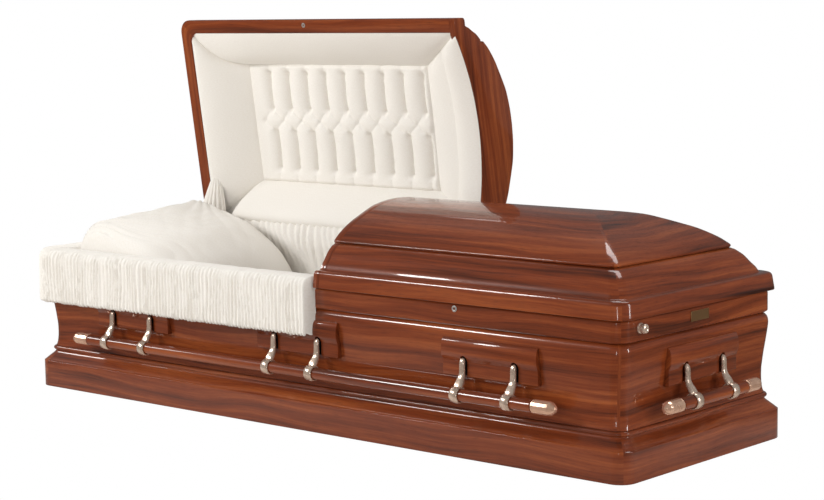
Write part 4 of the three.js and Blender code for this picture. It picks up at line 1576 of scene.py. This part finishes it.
def corners(west, east, south, north):
    """A rectangle's corners in the order of the borders' sides"""
    return [Vector(spot) for spot in ((east, south), (east, north), (west, north), (west, south))]


def lid_borders():
    """Padded borders that slope from the lid's rim to the panel, with a seam at each mitre"""
    reach = RIM_UNDERSIDE + 1 * MM
    header_edge = HEADER["head"] + HEADER_THICKNESS - 3 * MM
    outer = corners(reach - HALF_LENGTH, header_edge, reach - HALF_WIDTH, HALF_WIDTH - reach)
    inner = corners(PANEL_WEST, PANEL_EAST, PANEL_SOUTH, PANEL_NORTH)
    per_side, rows = BORDER_GRID

    def place(column, row):
        side, step = divmod(column, per_side)
        side %= 4
        share, deep = step / per_side, row / rows
        start, stop = outer[side], outer[(side + 1) % 4]
        edge = start.lerp(stop, share)
        seam = inner[side].lerp(inner[(side + 1) % 4], share)
        spot = edge.lerp(seam, deep)
        mitre = min(share, 1 - share) * (stop - start).length
        wrap = min(1, mitre / BORDER_WRAP) if side == HEADER_SIDE else 0
        low = LID_BOTTOM + 2 * MM + wrap * (arch_height(edge.y) - 2.4 * MM)
        height = low + (PANEL_FACE - 9 * MM - low) * deep
        from_bow = {HEAD_SIDE: 1 - share, FRONT_SIDE: share}.get(side, 1)
        spot = spot + FRONT_BOW * hump(deep) * (1 - min(1, from_bow * 2.5)) ** 2
        hold = 1 - max(0, 1 - mitre / BORDER_MITRE) ** 2
        soft = BORDER_WAVER * wander(spot.x * 9, spot.y * 9, 5.0) * min(1, 4 * deep)
        lift = (border_swell(side, deep) + soft) * hold ** 0.6
        inward = (seam - edge).normalized() * 0.6 * lift
        return spot.x + inward.x, spot.y + inward.y, height - 0.8 * lift

    def lay(column, row):
        side, step = divmod(column, per_side)
        length = (outer[(side + 1) % 4] - outer[side % 4]).length
        return side * 1.1 + step / per_side * length, row / rows * 0.16

    piece = lid_cloth("lid_borders", skin(4 * per_side, rows, place, lay), 45, "head_lid_lining")


# The hinge cushion: where it starts, the reach and shape of its rounded end and how far it hangs
CUSHION_GRID = (150, 30)
CUSHION_WEST = -915 * MM
CUSHION_END = 80 * MM
CUSHION_ROUND = 2.2
CUSHION_DROP = 74 * MM
CUSHION_WAVER = 2 * MM


def hinge_cushion():
    """The full cushion along the lid's hinge side, rounded at its head end"""
    west, east = CUSHION_WEST, HEADER["head"] - 1 * MM
    rim = Vector((HALF_WIDTH - RIM_UNDERSIDE - 1 * MM, LID_BOTTOM + 2 * MM))
    top = Vector((PANEL_NORTH, PANEL_FACE - 6 * MM))
    columns, rows = CUSHION_GRID

    def place(column, row):
        x = west + (east - west) * (column / columns) ** 1.3
        deep = row / rows
        short = max(0, 1 - (x - west) / CUSHION_END)
        full = (1 - short ** CUSHION_ROUND) ** (1 / CUSHION_ROUND)
        y, z = rim.lerp(top, deep * (0.2 + 0.8 * full))
        soft = CUSHION_WAVER * wander(x * 7, deep * 2, 12.0) * hump(deep)
        drop = CUSHION_DROP * full * hump(deep ** 0.75) ** 0.9 + soft
        return x, y, z - drop

    bm = skin(columns, rows, place, lambda c, r: ((east - west) * c / columns, 0.25 * r / rows))
    piece = lid_cloth("hinge_cushion", bm, 80, "head_lid_lining")
    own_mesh(piece)


# The band's section as (y, height) in millimetres, its two ends, and its folds' pitch, depth and seed
HINGE_BAND = [(282.5, 300), (281, 345), (277, 385), (283, 420), (300, 452)]
BAND_ENDS = (-985 * MM, 60 * MM)
BAND_COLUMNS = 300
BAND_PITCH = 27 * MM
BAND_DEPTH = 6 * MM
BAND_SEED = 17.0
BAND_SLANT = 0.35


def hinge_band():
    """The shirred cloth that joins the body to the open lid"""
    west, east = BAND_ENDS
    line = drawn(HINGE_BAND, 5)
    across = lengths(line)

    def place(column, row):
        x = west + (east - west) * column / BAND_COLUMNS
        y, z = line[row]
        fold = gathers(x + BAND_SLANT * (z - line[0].y), z, BAND_PITCH, BAND_SEED)
        free = min(1, 4 * row / (len(line) - 1))
        return x, y - BAND_DEPTH * fold * free, z

    def lay(column, row):
        return (east - west) * column / BAND_COLUMNS, across[row]

    band = made("hinge_band", skin(BAND_COLUMNS, len(line) - 1, place, lay), "gathered_crepe", 80)
    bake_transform(band)


# The gathered corner's lower and upper middle, its rise, how wide it spreads and its folds
GATHER_FOOT, GATHER_TIP = Vector((-968 * MM, 290 * MM)), Vector((-990 * MM, 335 * MM))
GATHER_BOTTOM = 0.385
GATHER_RISE = 0.2
GATHER_GRID = (90, 24)
GATHER_SPREAD = 50 * MM
GATHER_TOP = 9 * MM
GATHER_FOLDS = 9
GATHER_DEPTH = 0.16


def corner_gather():
    """The band's gathered end at the head, drawn up to the lid's corner"""
    columns, rows = GATHER_GRID

    def place(column, row):
        rise = row / rows
        spread = GATHER_SPREAD * (1 - rise) ** 0.9 + GATHER_TOP
        angle = math.pi * (1.1 * column / columns - 1.05)
        crest = ridge(GATHER_FOLDS * column / columns + 0.6 * rise)
        fold = 1 + GATHER_DEPTH * crest * (1 - 0.5 * rise)
        middle = GATHER_FOOT.lerp(GATHER_TIP, rise)
        x = middle.x + spread * fold * math.cos(angle)
        y = middle.y + spread * fold * math.sin(angle)
        return x, y, GATHER_BOTTOM + GATHER_RISE * rise

    bm = skin(columns, rows, place, lambda c, r: (0.18 * c / columns, 0.17 * r / rows))
    gather = made("corner_gather", bm, "gathered_crepe", 80)
    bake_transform(gather)


# Stage


def camera_turn():
    """The camera's axes from its azimuth, pitch and roll"""
    flat = Vector((math.sin(CAMERA_AZIMUTH), -math.cos(CAMERA_AZIMUTH), 0))
    back = flat * math.cos(CAMERA_PITCH) + Vector((0, 0, math.sin(CAMERA_PITCH)))
    right = (-back).cross(Vector((0, 0, 1))).normalized()
    up = back.cross(right)
    tilted = right * math.cos(CAMERA_ROLL) + up * math.sin(CAMERA_ROLL)
    raised = back.cross(tilted)
    return Matrix((tilted, raised, back)).transposed().to_4x4()


# Lamps, each as (place, aim, width and height, watts, whether polished surfaces show it)
LAMPS = {
    "overhead": ((0.2, 1.6, 4.2), (0.4, 0, 0.4), (3.0, 1.2), 55, True),
    "front_left": ((-3.6, -4.4, 3.4), (-0.3, 0, 0.3), (1.3, 1.3), 150, True),
    "left_high": ((-4.6, -2.2, 2.6), (-0.8, -0.3, 0.1), (1.6, 0.6), 45, True),
    "front_fill": ((1.6, -6.2, 1.6), (0, 0, 0.4), (1.2, 2.2), 55, False),
    "front_strip": ((3.2, -5.6, 0.9), (0.6, 0, 0.3), (0.25, 1.4), 22, True),
    "foot_right": ((5.6, 1.4, 1.7), (0.8, 0, 0.3), (0.5, 2.2), 60, True),
    "foot_fill": ((5.0, -0.6, 2.0), (0.8, 0, 0.3), (1.5, 1.5), 35, False),
}
WORLD_GLOW = 0.43
WORLD_REFLECTION = 0.16


# The floor: how far it reaches, its colour, and what polished wood sees of it near the part and far off
FLOOR_REACH = 14
FLOOR_COLOUR = (0.8, 0.77, 0.73, 1)
FLOOR_STRETCH = (0.25, 0.5, 0.5)
FLOOR_MIRRORED = (0.24, (0.75, 0.72, 0.68)), (0.46, (0.11, 0.08, 0.06))
WHITE = (1, 1, 1, 1)
WARM_WHITE = (1, 0.985, 0.96, 1)


class CASKET_OT_stage(Operator):
    """Makes the camera, the pale floor, the lights and the sky"""

    bl_idname = "casket.stage"
    bl_label = "Stage"

    def execute(self, context):
        scene = context.scene
        camera = added("camera", bpy.data.cameras.new("camera"))
        camera.data.lens = CAMERA_LENS
        camera.data.sensor_width = CAMERA_SENSOR
        camera.data.clip_end = 100
        camera.matrix_world = Matrix.Translation(CAMERA_PLACE) @ camera_turn()
        scene.camera = camera
        scene.view_settings.view_transform = "Standard"
        pale_floor()
        for name, (place, aim, size, watts, mirrored) in LAMPS.items():
            lamp = added(name, bpy.data.lights.new(name, "AREA"))
            lamp.data.shape = "RECTANGLE"
            lamp.data.size, lamp.data.size_y = size
            lamp.data.energy = watts
            turn = (Vector(aim) - Vector(place)).to_track_quat("-Z", "Y").to_matrix().to_4x4()
            lamp.matrix_world = Matrix.Translation(place) @ turn
            lamp.visible_glossy = mirrored
        studio_sky(scene)
        return {"FINISHED"}


def pale_floor():
    """A floor that is white to the camera and fades with distance in polished wood"""
    material = bpy.data.materials.new("pale_floor")
    material.use_nodes = True
    tree = material.node_tree
    wires = Wiring(tree)
    path = wires.node("ShaderNodeLightPath").outputs
    place = wires.stretched(wires.node("ShaderNodeTexCoord").outputs["Object"], FLOOR_STRETCH)
    away = wires.node("ShaderNodeVectorMath", links={0: place}, operation="LENGTH").outputs["Value"]
    shown = wires.ramp(away, *FLOOR_MIRRORED)
    shader = tree.nodes["Principled BSDF"]
    shader.inputs["Roughness"].default_value = 0.7
    tree.links.new(wires.mixed(path["Is Glossy Ray"], FLOOR_COLOUR, shown), shader.inputs["Base Color"])
    bright = wires.node("ShaderNodeEmission", {"Color": WHITE, "Strength": 1.0})
    mix = wires.either(path["Is Camera Ray"], shader.outputs[0], bright.outputs[0])
    tree.links.new(mix, tree.nodes["Material Output"].inputs["Surface"])
    bm = bmesh.new()
    bmesh.ops.create_grid(bm, x_segments=1, y_segments=1, size=FLOOR_REACH)
    floor = made("floor", bm, "pale_floor")


def studio_sky(scene):
    """A sky that is white to the camera, a soft glow on the part and a fainter one in its polish"""
    world = bpy.data.worlds.new("studio")
    scene.world = world
    world.use_nodes = True
    tree = world.node_tree
    wires = Wiring(tree)
    seen = tree.nodes["Background"]
    seen.inputs["Color"].default_value = WHITE
    glow = wires.node("ShaderNodeBackground", {"Color": WARM_WHITE, "Strength": WORLD_GLOW})
    gleam = wires.node("ShaderNodeBackground", {"Color": WHITE, "Strength": WORLD_REFLECTION})
    path = wires.node("ShaderNodeLightPath").outputs
    unseen = wires.either(path["Is Glossy Ray"], glow.outputs[0], gleam.outputs[0])
    mix = wires.either(path["Is Camera Ray"], unseen, seen.outputs[0])
    tree.links.new(mix, tree.nodes["World Output"].inputs["Surface"])


class CASKET_PT_panel(Panel):
    """Lists the casket's settings and pieces"""

    bl_idname = "CASKET_PT_panel"
    bl_label = "Casket"
    bl_space_type = "VIEW_3D"
    bl_region_type = "UI"
    bl_category = "Casket"

    def draw(self, context):
        for settings in (context.scene.casket_wood, context.scene.casket_cloth):
            for key in settings.__annotations__:
                self.layout.prop(settings, key)
        for operator in OPERATORS:
            self.layout.operator(operator.bl_idname)


OPERATORS = (
    CASKET_OT_stage,
    CASKET_OT_finishes,
    CASKET_OT_body,
    CASKET_OT_lids,
    CASKET_OT_handles,
    CASKET_OT_fittings,
    CASKET_OT_lining,
    CASKET_OT_pillow,
    CASKET_OT_apron,
    CASKET_OT_lid_lining,
)
CLASSES = (CasketWoodSettings, CasketClothSettings, *OPERATORS, CASKET_PT_panel)


def register():
    for item in CLASSES:
        bpy.utils.register_class(item)
    bpy.types.Scene.casket_wood = PointerProperty(type=CasketWoodSettings)
    bpy.types.Scene.casket_cloth = PointerProperty(type=CasketClothSettings)


def unregister():
    del bpy.types.Scene.casket_cloth
    del bpy.types.Scene.casket_wood
    for item in reversed(CLASSES):
        bpy.utils.unregister_class(item)


def main():
    register()
    for operator in OPERATORS:
        group, name = operator.bl_idname.split(".")
        getattr(getattr(bpy.ops, group), name)()


if __name__ == "__main__":
    main()
